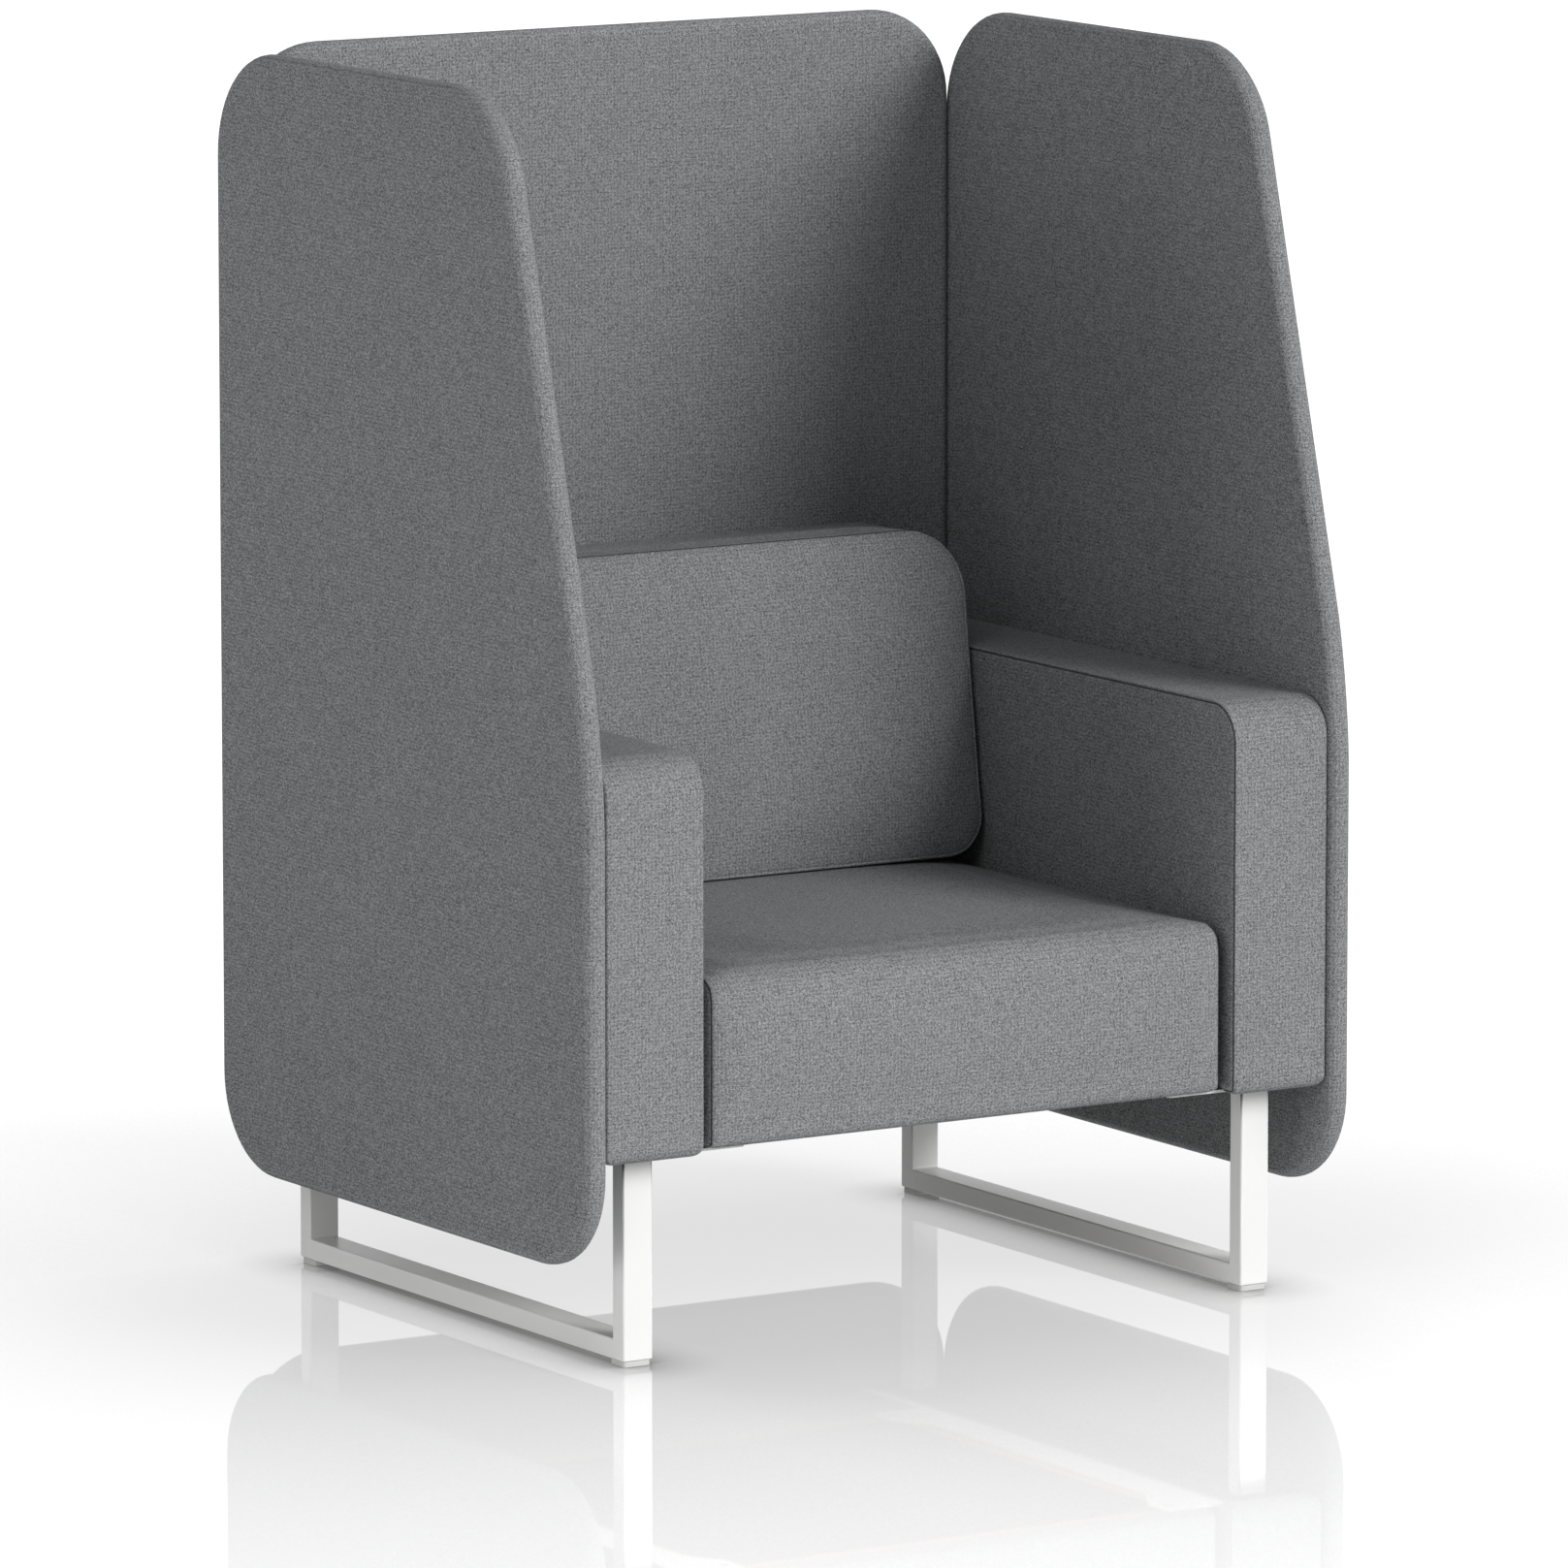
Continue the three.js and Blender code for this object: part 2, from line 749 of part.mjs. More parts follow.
function plateCorners() {
  const { front, rear, flangeRear } = plateEnds();
  const stripX = postOuterX - plateStripWidth;
  const flangeX = stripX - plateFlangeReach;
  const earX = flangeX - plateEarReach;
  const flareRadius = plateEarFlare;
  return [
    corner(postOuterX, front, plateCornerRadius),
    corner(postOuterX, rear, plateCornerRadius),
    corner(stripX, rear, plateCornerRadius),
    corner(stripX, flangeRear, plateCornerRadius),
    corner(earX, flangeRear, plateCornerRadius),
    corner(earX, flangeRear - plateEarLength, plateCornerRadius),
    corner(flangeX, flangeRear - plateEarLength - plateEarFlare, flareRadius),
    corner(flangeX, front + plateEarLength + plateEarFlare, flareRadius),
    corner(earX, front + plateEarLength, plateCornerRadius),
    corner(earX, front, plateCornerRadius),
  ];
}

function seatScrewPlaces() {
  const { front, flangeRear } = plateEnds();
  const x = postOuterX - plateStripWidth - plateFlangeReach - plateEarReach + seatScrewFromEarEdge;
  return [
    { x, y: front + plateEarLength / 2 },
    { x, y: flangeRear - plateEarLength / 2 },
  ];
}

function armScrewPlaces() {
  const x = postOuterX - tubeWidth / 2;
  return [
    { x, y: legFrontY + tubeDepth + armScrewFromPost },
    { x, y: legRearY - tubeDepth - armScrewFromPost },
  ];
}

function mountingPlate() {
  const outline = roundedOutline(plateCorners(), smallArcSteps);
  const places = [...seatScrewPlaces(), ...armScrewPlaces()];
  const holes = places.map((place) => screw(place, screwSlack));
  return cut(slab(outline, 'z', plateBottomZ, plateTopZ), holes);
}

function glide(outerY, inwards) {
  const nearY = outerY + inwards * glideInset;
  const farY = nearY + inwards * glideLength;
  const sideInset = (tubeWidth - glideWidth) / 2;
  const outline = roundedOutline(boxCorners(
    postOuterX - tubeWidth + sideInset,
    postOuterX - sideInset,
    Math.min(nearY, farY),
    Math.max(nearY, farY),
    glideCornerRadius,
  ), smallArcSteps);
  return slab(outline, 'z', 0, legFloorGap - restGap, glideEdgeRadius);
}

// Seat: a crowned upholstered block over a timber frame with woven webbing

function seatSwell(point, share) {
  if (share.z > 0) {
    const across = bulge(share.x, 4);
    const along = bulge(share.y, 4);
    point.z += share.z * (seatCrown - seatCrownDeep) * across;
    point.z += share.z * seatCrownDeep * across * along;
  }
  if (share.y < 0) point.y += share.y * seatFrontSwell * bulge(share.x, 4) * bulge(share.z);
  point.x -= share.x * seatSideDraw * bulge(share.y, 4) * bulge(share.z);
}

function seatSideCorners(depth) {
  const [halfDepth, halfHeight] = [depth / 2, seatBlockHeight / 2];
  return [
    corner(-halfDepth, -halfHeight, seatFrontLowerRadius),
    corner(halfDepth, -halfHeight, seatRearRadius),
    corner(halfDepth, halfHeight, seatRearRadius),
    corner(-halfDepth, halfHeight, seatFrontUpperRadius),
  ];
}

function seatCushion() {
  const depth = seatDepth - seatFrontSwell;
  const onSide = softPad({
    size: new THREE.Vector3(depth, seatWidth, seatBlockHeight),
    corners: seatSideCorners(depth),
    edgeRadius: seatEdgeRadius,
    wallSteps: seatWallSteps,
  });
  const size = new THREE.Vector3(seatWidth, depth, seatBlockHeight);
  const pad = swollen(onSide.rotateZ(Math.PI / 2), size, seatSwell);
  pad.translate(0, seatMiddleY + seatFrontSwell / 2, seatBottomZ + seatBlockHeight / 2);
  const { left, right, front, rear } = seatFrameSides(restGap);
  const pocket = block(left, right, front, rear, seatBottomZ - overrun, seatPocketTopZ);
  return cut(pad, [pocket]);
}

const seatMiddleY = seatFrontY + seatDepth / 2;

function seatFrameSides(clearance) {
  const halfWidth = seatWidth / 2 - seatWall + clearance;
  return {
    left: -halfWidth,
    right: halfWidth,
    front: seatFrontY + seatWall + seatFrontSwell - clearance,
    rear: seatRearY - seatRearWall + clearance,
  };
}

function seatFrame() {
  const { left, right, front, rear } = seatFrameSides(0);
  const outline = boxCorners(left, right, front, rear, seatRailEdgeRadius);
  const whole = slab(roundedOutline(outline, smallArcSteps), 'z', seatFrameBottomZ, seatFrameTopZ);
  const opening = block(
    left + seatRailWidth, right - seatRailWidth,
    front + seatRailWidth, rear - seatRailWidth,
    seatFrameBottomZ - overrun, seatFrameTopZ + overrun,
  );
  const beam = block(
    left + seatRailWidth, right - seatRailWidth,
    seatMiddleY - seatBeamWidth / 2, seatMiddleY + seatBeamWidth / 2,
    seatFrameBottomZ, seatFrameBottomZ + seatBeamHeight,
  );
  const places = seatScrewPlaces();
  const leftPlaces = places.map(({ x, y }) => ({ x: -x, y }));
  const holes = [...places, ...leftPlaces].map((place) => screw(place, screwSlack));
  return cut(join(cut(whole, [opening]), [beam]), holes);
}

function seatCover() {
  const { left, right, front, rear } = seatFrameSides(0);
  const lap = seatRailWidth - seatCoverLap;
  return block(
    left + lap, right - lap, front + lap, rear - lap,
    seatBottomZ, seatBottomZ + seatCoverThickness,
  );
}

// A flat strap that runs from one place to another and weaves over and under
// the straps that cross it. Its outline is its side view.

function strap(from, to, crossings, firstSide, axis, across, middleZ) {
  const steps = Math.max((crossings + 1) * stepsPerWave, 1);
  const pitch = (to - from) / (crossings + 1);
  const level = (place) => {
    const phase = (place - from) / pitch * Math.PI;
    const taper = Math.min((place - from) / pitch, (to - place) / pitch, 1);
    return middleZ - firstSide * webbingWave * Math.cos(phase) * taper;
  };
  const places = Array.from({ length: steps + 1 }, (_, k) => from + (to - from) * k / steps);
  const lower = places.map((place) => new THREE.Vector2(place, level(place) - webbingThickness / 2));
  const upper = places.map((place) => new THREE.Vector2(place, level(place) + webbingThickness / 2));
  const outline = [...lower, ...upper.reverse()];
  return slab(outline, axis, across - webbingWidth / 2, across + webbingWidth / 2);
}

function spread(from, to, count) {
  return Array.from({ length: count }, (_, k) => from + (to - from) * (k + 1) / (count + 1));
}

function seatStraps() {
  const { left, right, front, rear } = seatFrameSides(0);
  const z = seatFrameTopZ + restGap + webbingWave + webbingThickness;
  const legwise = spread(left, right, legwiseStraps).map((x, k) => (
    strap(front, rear, crosswiseStraps, k % 2 ? 1 : -1, 'x', x, z)
  ));
  const crosswise = spread(front, rear, crosswiseStraps).map((y, k) => (
    strap(left, right, legwiseStraps, k % 2 ? -1 : 1, 'y', y, z)
  ));
  return { legwise, crosswise };
}

// Backrest: a timber frame in a padded cover, and the cushion that leans on it

function backrestCorners(inset) {
  const kneeY = backrestFrontY + inset;
  const topZ = backrestTopZ - inset;
  const bottomZ = seatBottomZ + inset;
  const rearFaceY = armRearY - restGap;
  return [
    corner(kneeY, bottomZ),
    corner(rearFaceY, bottomZ),
    corner(rearFaceY, topZ),
    corner(kneeY + (topZ - backrestKneeZ) * leanSlope, topZ),
    corner(kneeY, backrestKneeZ),
  ];
}

const backrestHalfWidth = armInnerX - softGap;
const backrestInset = backrestPadThickness + webbingThickness + 2 * restGap;

function backrestCover() {
  const whole = slab(
    roundedOutline(backrestCorners(0)), 'x', -backrestHalfWidth, backrestHalfWidth,
    backrestEdgeRadius,
  );
  const [frontBottom, rearBottom, rearTop, frontTop, knee] = backrestCorners(backrestPadThickness);
  const room = roundedOutline([
    frontBottom,
    corner(rearBottom.place.x + overrun, rearBottom.place.y),
    corner(rearTop.place.x + overrun, rearTop.place.y),
    frontTop,
    knee,
  ]);
  const halfRoom = backrestHalfWidth - backrestPadThickness;
  return cut(whole, [slab(room, 'x', -halfRoom, halfRoom)]);
}

function backrestFrame() {
  const halfWidth = backrestHalfWidth - backrestPadThickness - restGap;
  const corners = backrestCorners(backrestInset);
  const whole = slab(roundedOutline(corners), 'x', -halfWidth, halfWidth);
  const windows = [-1, 1].map((side) => {
    const innerX = side * backrestCheekWidth / 2;
    const outerX = side * (halfWidth - backrestCheekWidth);
    const outline = roundedOutline(boxCorners(
      Math.min(innerX, outerX),
      Math.max(innerX, outerX),
      seatBottomZ + backrestInset + backrestRailHeight,
      backrestTopZ - backrestInset - backrestRailHeight,
      windowRadius,
    ), smallArcSteps);
    return slab(outline, 'y', backrestFrontY - overrun, rearY);
  });
  const hollow = backrestHollows(halfWidth);
  return cut(whole, [...windows, ...hollow]);
}

function backrestHollows(halfWidth) {
  const shelfRearY = backrestFrontY + backrestInset + backrestShelfThickness;
  return [-1, 1].map((side) => {
    const innerX = side * backrestShelfThickness / 2;
    const outerX = side * (halfWidth - backrestShelfThickness);
    return block(
      Math.min(innerX, outerX), Math.max(innerX, outerX),
      shelfRearY + (backrestTopZ - backrestKneeZ) * leanSlope, rearY,
      seatBottomZ + backrestInset + backrestShelfThickness,
      backrestTopZ - backrestInset - backrestShelfThickness,
    );
  });
}

function backrestStraps() {
  const halfWidth = backrestHalfWidth - backrestPadThickness - restGap;
  const lowest = backrestKneeZ;
  const highest = backrestTopZ - backrestInset;
  return spread(lowest, highest, backStraps).map((z) => {
    const faceY = backrestFrontY + backrestInset + (z - backrestKneeZ) * leanSlope;
    const half = webbingWidth / 2;
    const front = faceY - restGap - webbingThickness;
    const outline = [
      new THREE.Vector2(front - half * leanSlope, z - half),
      new THREE.Vector2(front + webbingThickness - half * leanSlope, z - half),
      new THREE.Vector2(front + webbingThickness + half * leanSlope, z + half),
      new THREE.Vector2(front + half * leanSlope, z + half),
    ];
    return slab(outline, 'x', -halfWidth, halfWidth);
  });
}

function backCushionSwell(point, share) {
  const across = bulge(share.x, 4);
  const upright = bulge(share.z, 4);
  if (share.y < 0) point.y += share.y * backCushionCrown * across * upright;
  point.x += share.x * backCushionSideBulge * upright * bulge(share.y);
  const depthShare = (point.y + backCushionThickness / 2) / backCushionThickness;
  const bottom = -backCushionHeight / 2;
  point.z -= backCushionTopDrop * depthShare * (point.z - bottom) / backCushionHeight;
  point.y += (point.z - bottom) * leanSlope;
}

function backCushion() {
  const size = new THREE.Vector3(backCushionWidth, backCushionThickness, backCushionHeight);
  const pad = swollen(softPad({
    size,
    corners: padCorners(
      size.x, size.z, backCushionLowerCornerRadius, backCushionUpperCornerRadius,
    ),
    edgeRadius: backCushionEdgeRadius,
    wallSteps: backCushionWallSteps,
  }), size, backCushionSwell);
  const middleY = backCushionFrontY + backCushionThickness / 2;
  return pad.translate(0, middleY, backCushionBottomZ + backCushionHeight / 2);
}

// The chair

const chair = new THREE.Group();

function piece(name, geometry, finish) {
  const { colour: color, roughness, metalness } = finish;
  const material = new THREE.MeshStandardMaterial({ color, roughness, metalness });
  const mesh = new THREE.Mesh(geometry, material);
  mesh.name = name;
  chair.add(mesh);
}

function pair(name, geometry, finish) {
  piece(`${name}_right`, geometry, finish);
  piece(`${name}_left`, mirrored(geometry), finish);
}

pair('side_screen_board', wingBoard(), wood);
pair('side_screen_outer_pad', wingOuterPad(), fabric);
pair('side_screen_inner_pad', wingInnerPad(), fabric);

const backScreenMiddleY = rearY - screenThickness / 2;
piece('back_screen_board', screenBoard(backScreenCorners(), 'y', backScreenMiddleY), wood);
piece('back_screen_front_pad', screenPad(backScreenCorners(), 'y', backScreenFrontY, rearY, -1), fabric);
piece('back_screen_rear_pad', screenPad(backScreenCorners(), 'y', backScreenFrontY, rearY, 1), fabric);

pair('arm_frame', armFrame(), wood);
pair('arm_band', armBand(), fabric);
pair('arm_inner_panel', armPanel(armInnerX), fabric);
pair('arm_outer_panel', armOuterPanel(), fabric);
pair('arm_dust_cover', armCover(), darkCloth);

piece('seat_frame', seatFrame(), wood);
piece('seat_dust_cover', seatCover(), darkCloth);
const straps = seatStraps();
straps.legwise.forEach((geometry, k) => piece(`seat_webbing_long_${k + 1}`, geometry, strapCloth));
straps.crosswise.forEach((geometry, k) => piece(`seat_webbing_cross_${k + 1}`, geometry, strapCloth));
piece('seat_cushion', seatCushion(), fabric);

piece('backrest_frame', backrestFrame(), wood);
backrestStraps().forEach((geometry, k) => piece(`backrest_webbing_${k + 1}`, geometry, strapCloth));
piece('backrest_cover', backrestCover(), fabric);
piece('back_cushion', backCushion(), fabric);

pair('leg_floor_bar', legFloorBar(), paintedSteel);
pair('leg_front_post', legPost(legFrontY, 1), paintedSteel);
pair('leg_rear_post', legPost(legRearY, -1), paintedSteel);
pair('mounting_plate', mountingPlate(), paintedSteel);
pair('front_glide', glide(legFrontY, 1), glidePlastic);
pair('rear_glide', glide(legRearY, -1), glidePlastic);

const [frontSeatScrew, rearSeatScrew] = seatScrewPlaces();
const [frontArmScrew, rearArmScrew] = armScrewPlaces();
pair('front_seat_screw', screw(frontSeatScrew), zincSteel);
pair('rear_seat_screw', screw(rearSeatScrew), zincSteel);
pair('front_arm_screw', screw(frontArmScrew), zincSteel);
pair('rear_arm_screw', screw(rearArmScrew), zincSteel);
pair('front_screen_bolt', wingBolt(boltPlaces().front), zincSteel);
pair('rear_screen_bolt', wingBolt(boltPlaces().rear), zincSteel);

export default chair;
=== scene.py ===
# %% [markdown]
# # An acoustic lounge chair, dressed for its picture
# The chair is a small room for one person: two tall upholstered side screens and a back
# screen stand round an armchair on two white sled legs. The rigid skeleton comes from the
# CAD frame and is never moved. This file makes what the eye meets: padding, cloth, seams,
# paint, the floor and the light. Everything is in metres, with Z up and the sitter facing -Y.

import json
import math

import bmesh
import bpy
from mathutils import Matrix, Vector
from mathutils.bvhtree import BVHTree


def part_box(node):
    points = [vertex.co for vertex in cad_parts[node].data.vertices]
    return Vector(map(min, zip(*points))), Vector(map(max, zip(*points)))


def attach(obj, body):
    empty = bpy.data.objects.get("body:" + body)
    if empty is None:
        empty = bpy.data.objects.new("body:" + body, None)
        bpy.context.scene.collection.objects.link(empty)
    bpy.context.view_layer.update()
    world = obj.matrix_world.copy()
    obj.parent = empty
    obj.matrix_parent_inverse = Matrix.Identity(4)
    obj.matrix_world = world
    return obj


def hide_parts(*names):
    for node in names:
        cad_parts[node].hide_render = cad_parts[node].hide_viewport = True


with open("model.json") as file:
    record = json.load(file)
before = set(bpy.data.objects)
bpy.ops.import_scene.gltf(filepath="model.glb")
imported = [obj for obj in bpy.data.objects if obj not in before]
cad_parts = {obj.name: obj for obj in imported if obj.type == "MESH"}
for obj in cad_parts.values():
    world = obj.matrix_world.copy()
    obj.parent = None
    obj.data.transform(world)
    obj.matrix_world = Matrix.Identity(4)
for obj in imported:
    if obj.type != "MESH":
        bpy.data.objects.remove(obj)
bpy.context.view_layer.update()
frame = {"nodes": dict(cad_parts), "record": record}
scene = bpy.context.scene

# %% [markdown]
# ## The camera
# The picture was taken from the chair's front left with a very long lens, so lines that
# run away from us stay almost parallel. The place, turn and lens were solved from the
# straight edges of the screens, arms and legs. A camera looks along its own -Z, so its
# matrix has the right, up and backward directions as columns. The lens length follows
# from how many of the picture's pixels one radian fills.

# %% Camera
camera_turn = math.radians(31.880)
camera_tilt = math.radians(8.844)
lens_pixels = 12587.5
picture_pixels = 1617
camera_aside, camera_above, camera_away = 0.002998, 0.561397, 13.9459
camera_shift_back = Vector((0, -0.003, 0))
camera_sensor = 36
camera_sees_to = 200


def add_camera():
    back = Vector((
        -math.sin(camera_turn) * math.cos(camera_tilt),
        -math.cos(camera_turn) * math.cos(camera_tilt),
        math.sin(camera_tilt),
    ))
    right = Vector((math.cos(camera_turn), -math.sin(camera_turn), 0))
    up = back.cross(right)
    place = right * camera_aside + up * camera_above + back * camera_away + camera_shift_back
    turned = Matrix((right, up, back)).transposed().to_4x4()
    data = bpy.data.cameras.new("photo_camera")
    data.sensor_width = camera_sensor
    data.lens = lens_pixels / picture_pixels * data.sensor_width
    data.clip_end = camera_sees_to
    camera = bpy.data.objects.new("photo_camera", data)
    camera.matrix_world = Matrix.Translation(place) @ turned
    scene.collection.objects.link(camera)
    scene.camera = camera
    print("camera at", [round(c, 3) for c in place], "lens", round(data.lens, 1), "mm")


add_camera()

# %% [markdown]
# ## Shader maths in plain expressions
# A material is a graph of nodes. Wrapping a socket in a small class lets the graph be
# written as a sum or product, and each sign adds its Math node. Every other node comes
# from one method: its type, then its settings, then what its sockets hold.

# %% A socket that can be added and multiplied


class Level:
    def __init__(self, graph, socket):
        self.graph = graph
        self.socket = socket

    def maths(self, operation, first, second):
        settings = {"operation": operation}
        return self.graph.node("ShaderNodeMath", settings, {0: first, 1: second})[0]

    def __add__(self, other):
        return self.maths("ADD", self, other)

    def __radd__(self, other):
        return self.maths("ADD", other, self)

    def __sub__(self, other):
        return self.maths("SUBTRACT", self, other)

    def __rsub__(self, other):
        return self.maths("SUBTRACT", other, self)

    def __mul__(self, other):
        return self.maths("MULTIPLY", self, other)

    def __rmul__(self, other):
        return self.maths("MULTIPLY", other, self)

    def __pow__(self, other):
        return self.maths("POWER", self, other)

    def larger(self, other):
        return self.maths("MAXIMUM", self, other)


# %% A graph and its one way to add a node


class Outputs:
    def __init__(self, graph, node):
        self.graph = graph
        self.node = node

    def __getitem__(self, name):
        return Level(self.graph, self.node.outputs[name])


class Graph:
    def __init__(self, tree):
        self.tree = tree
        self.tree.nodes.clear()

    def node(self, kind, settings=None, inputs=None):
        node = self.tree.nodes.new(kind)
        for name, setting in (settings or {}).items():
            setattr(node, name, setting)
        for name, level in (inputs or {}).items():
            if isinstance(level, Level):
                self.tree.links.new(level.socket, node.inputs[name])
            else:
                node.inputs[name].default_value = level
        return Outputs(self, node)

    def glowing(self, level):
        return self.node("ShaderNodeEmission", None, {"Strength": level})["Emission"]

    def blended(self, share, first, second):
        return self.node("ShaderNodeMixShader", None, {0: share, 1: first, 2: second})[0]


# %% A material is a graph with a few patterns of its own
noise_turn = (0.6, 0.45, 0.8)


class Finish(Graph):
    def __init__(self, name):
        self.material = bpy.data.materials.new(name)
        self.material.use_nodes = True
        super().__init__(self.material.node_tree)
        self.places = self.node("ShaderNodeTexCoord")["Object"]

    def stretched(self, scales, turn=(0, 0, 0)):
        inputs = {"Vector": self.places, "Scale": scales, "Rotation": turn}
        return self.node("ShaderNodeMapping", None, inputs)["Vector"]

    def noise(self, scales, detail=1.0, roughness=0.5):
        """The turn follows the stretch, so flat faces never lie along the noise's own cells."""
        place = self.stretched(scales, noise_turn)
        inputs = {"Vector": place, "Scale": 1.0, "Detail": detail, "Roughness": roughness}
        return self.node("ShaderNodeTexNoise", None, inputs)[0]

    def colours(self, share, first, second):
        settings = {"data_type": "RGBA"}
        mix = self.node("ShaderNodeMix", settings, {0: share, 6: (*first, 1), 7: (*second, 1)})
        return mix[2]

    def clamped(self, level):
        settings = {"operation": "ADD", "use_clamp": True}
        return self.node("ShaderNodeMath", settings, {0: level, 1: 0.0})[0]

    def bump(self, height, distance):
        inputs = {"Height": height, "Distance": distance, "Strength": 1.0}
        return self.node("ShaderNodeBump", None, inputs)["Normal"]

    def surface(self, inputs):
        shader = self.node("ShaderNodeBsdfPrincipled", None, inputs)["BSDF"]
        self.node("ShaderNodeOutputMaterial", None, {"Surface": shader})
        return self.material


# %% [markdown]
# ## The grey cloth
# The cover is one worsted cloth all over. Pale and dark fibres are spun together, so the
# picture shows single flecks under a millimetre across, short dashes where a thread runs
# over its neighbours, and a very faint check where the weave repeats. Noises stretched
# along each of the three axes cross on every face, whichever way it looks, so no
# unwrapping is needed. Every noise is turned askew, because a flat face that lies along
# a noise's own cells would show bands. The cloth is rough and its specular level is low,
# since loose fibres scatter what a smooth face would mirror at a grazing angle.

# %% Cloth material
grey_dark = (0.065, 0.068, 0.072)
grey_pale = (0.388, 0.398, 0.404)
dash_length, thread_width, fleck_size = 0.0028, 0.0008, 0.0007
weave_repeat = 0.0044
wander_scale, wander_reach = 90, 5
warp_stretch = 0.75
cloud_scale = 14
dash_share, check_share, cloud_share = 0.6, 0.04, 0.06
weave_height = 0.00012


def crossing_dashes(finish):
    along, across = 1 / dash_length, 1 / thread_width
    dashes = finish.noise((along, across, across), 0.0)
    dashes = dashes + finish.noise((across, along, across), 0.0)
    return dashes + finish.noise((across, across, along), 0.0) - 1.5


def check_weave(finish):
    turns = 2 * math.pi / weave_repeat
    wander = finish.noise([wander_scale] * 3, 1.0) * wander_reach
    axes = finish.node("ShaderNodeSeparateXYZ", None, {0: finish.stretched((turns, turns, turns))})
    waves = [
        finish.node("ShaderNodeMath", {"operation": "SINE"}, {0: axes[axis] + wander})[0]
        for axis in ("X", "Z")
    ]
    return waves[0] + waves[1]


def cloth_finish(name, dark, pale, contrast=1.7):
    finish = Finish(name)
    finish.places = finish.stretched((1, warp_stretch, 1))
    dashes = crossing_dashes(finish)
    flecks = finish.noise([1 / fleck_size] * 3, 1.0) - 0.5
    cloudy = finish.noise([cloud_scale] * 3, 1.0) - 0.5
    weave = dashes * dash_share + flecks + check_weave(finish) * check_share
    share = finish.clamped(weave * contrast + cloudy * cloud_share + 0.5)
    return finish.surface({
        "Base Color": finish.colours(share, dark, pale),
        "Roughness": 0.9,
        "Specular IOR Level": 0.15,
        "Normal": finish.bump(weave, weave_height),
    })


cloth = cloth_finish("grey_worsted_cloth", grey_dark, grey_pale)
# Painted shade: two darker copies of the cloth for the thin tubes that stand in for the shade in
# the seams' grooves. The shallower one is for the arms.
painted_seam_shade = cloth_finish("seam_shadow", (0.02, 0.021, 0.022), (0.06, 0.062, 0.064))
painted_shallow_seam_shade = cloth_finish("shallow_seam_shadow", (0.03, 0.031, 0.033), (0.12, 0.123, 0.126))
print("cloth nodes", len(cloth.node_tree.nodes))

# %% [markdown]
# ## Paint, plastic, zinc, timber and black cloth
# The legs and their plates are powder coated: white, half glossy, with a faint orange
# peel. The other finishes are hidden or small, but each still has what the real one
# shows close up: drawn-out grain in timber, dimples in the black dust cloth, ribs
# across the webbing and fine scratches on zinc. Pictures of these finishes would do as
# well, but a noise stretched along the grain needs no file and never shows a repeat.

# %% White powder coat


def paint_finish():
    finish = Finish("white_powder_coat")
    peel = finish.noise((260, 260, 260), 1.0)
    patches = finish.noise((9, 9, 9), 1.0)
    return finish.surface({
        "Base Color": finish.colours(patches, (0.83, 0.83, 0.82), (0.87, 0.87, 0.865)),
        "Roughness": 0.26 + peel * 0.1,
        "Normal": finish.bump(peel, 0.00008),
    })


# %% Pale plastic


def plastic_finish():
    finish = Finish("pale_plastic")
    grain = finish.noise((1500, 1500, 1500), 2.0)
    return finish.surface({
        "Base Color": finish.colours(grain, (0.52, 0.52, 0.51), (0.6, 0.6, 0.59)),
        "Roughness": 0.45 + grain * 0.15,
        "Normal": finish.bump(grain, 0.00005),
    })


# %% Zinc


def zinc_finish():
    finish = Finish("zinc_plate")
    scratches = finish.noise((2400, 300, 2400), 2.0)
    return finish.surface({
        "Base Color": finish.colours(scratches, (0.42, 0.43, 0.44), (0.56, 0.57, 0.58)),
        "Metallic": 1.0,
        "Roughness": 0.25 + scratches * 0.2,
        "Normal": finish.bump(scratches, 0.00003),
    })


# %% Timber


def timber_finish():
    finish = Finish("raw_timber")
    grain = finish.noise((220, 9, 220), 4.0, 0.6)
    pores = finish.noise((1400, 60, 1400), 1.0)
    share = finish.clamped((grain - 0.5) * 2.2 + 0.5 + (pores - 0.5) * 0.5)
    return finish.surface({
        "Base Color": finish.colours(share, (0.36, 0.22, 0.1), (0.66, 0.47, 0.27)),
        "Roughness": 0.62 + pores * 0.2,
        "Normal": finish.bump(grain + pores, 0.0002),
    })


# %% Black dust cloth


def dust_cloth_finish():
    finish = Finish("black_dust_cloth")
    cells = finish.node("ShaderNodeTexVoronoi", None, {
        "Vector": finish.places, "Scale": 420.0,
    })["Distance"]
    return finish.surface({
        "Base Color": finish.colours(cells, (0.012, 0.012, 0.013), (0.04, 0.04, 0.042)),
        "Roughness": 0.85,
        "Normal": finish.bump(cells, 0.0003),
    })


# %% Webbing


def webbing_finish():
    finish = Finish("dark_webbing")
    ribs = finish.node("ShaderNodeTexWave", {"bands_direction": "DIAGONAL"}, {
        "Vector": finish.places, "Scale": 130.0, "Distortion": 1.0,
    })[0]
    fibres = finish.noise((900, 900, 900), 1.0)
    share = ribs * 0.7 + fibres * 0.3
    return finish.surface({
        "Base Color": finish.colours(share, (0.02, 0.02, 0.018), (0.075, 0.07, 0.062)),
        "Roughness": 0.8,
        "Normal": finish.bump(ribs, 0.0004),
    })


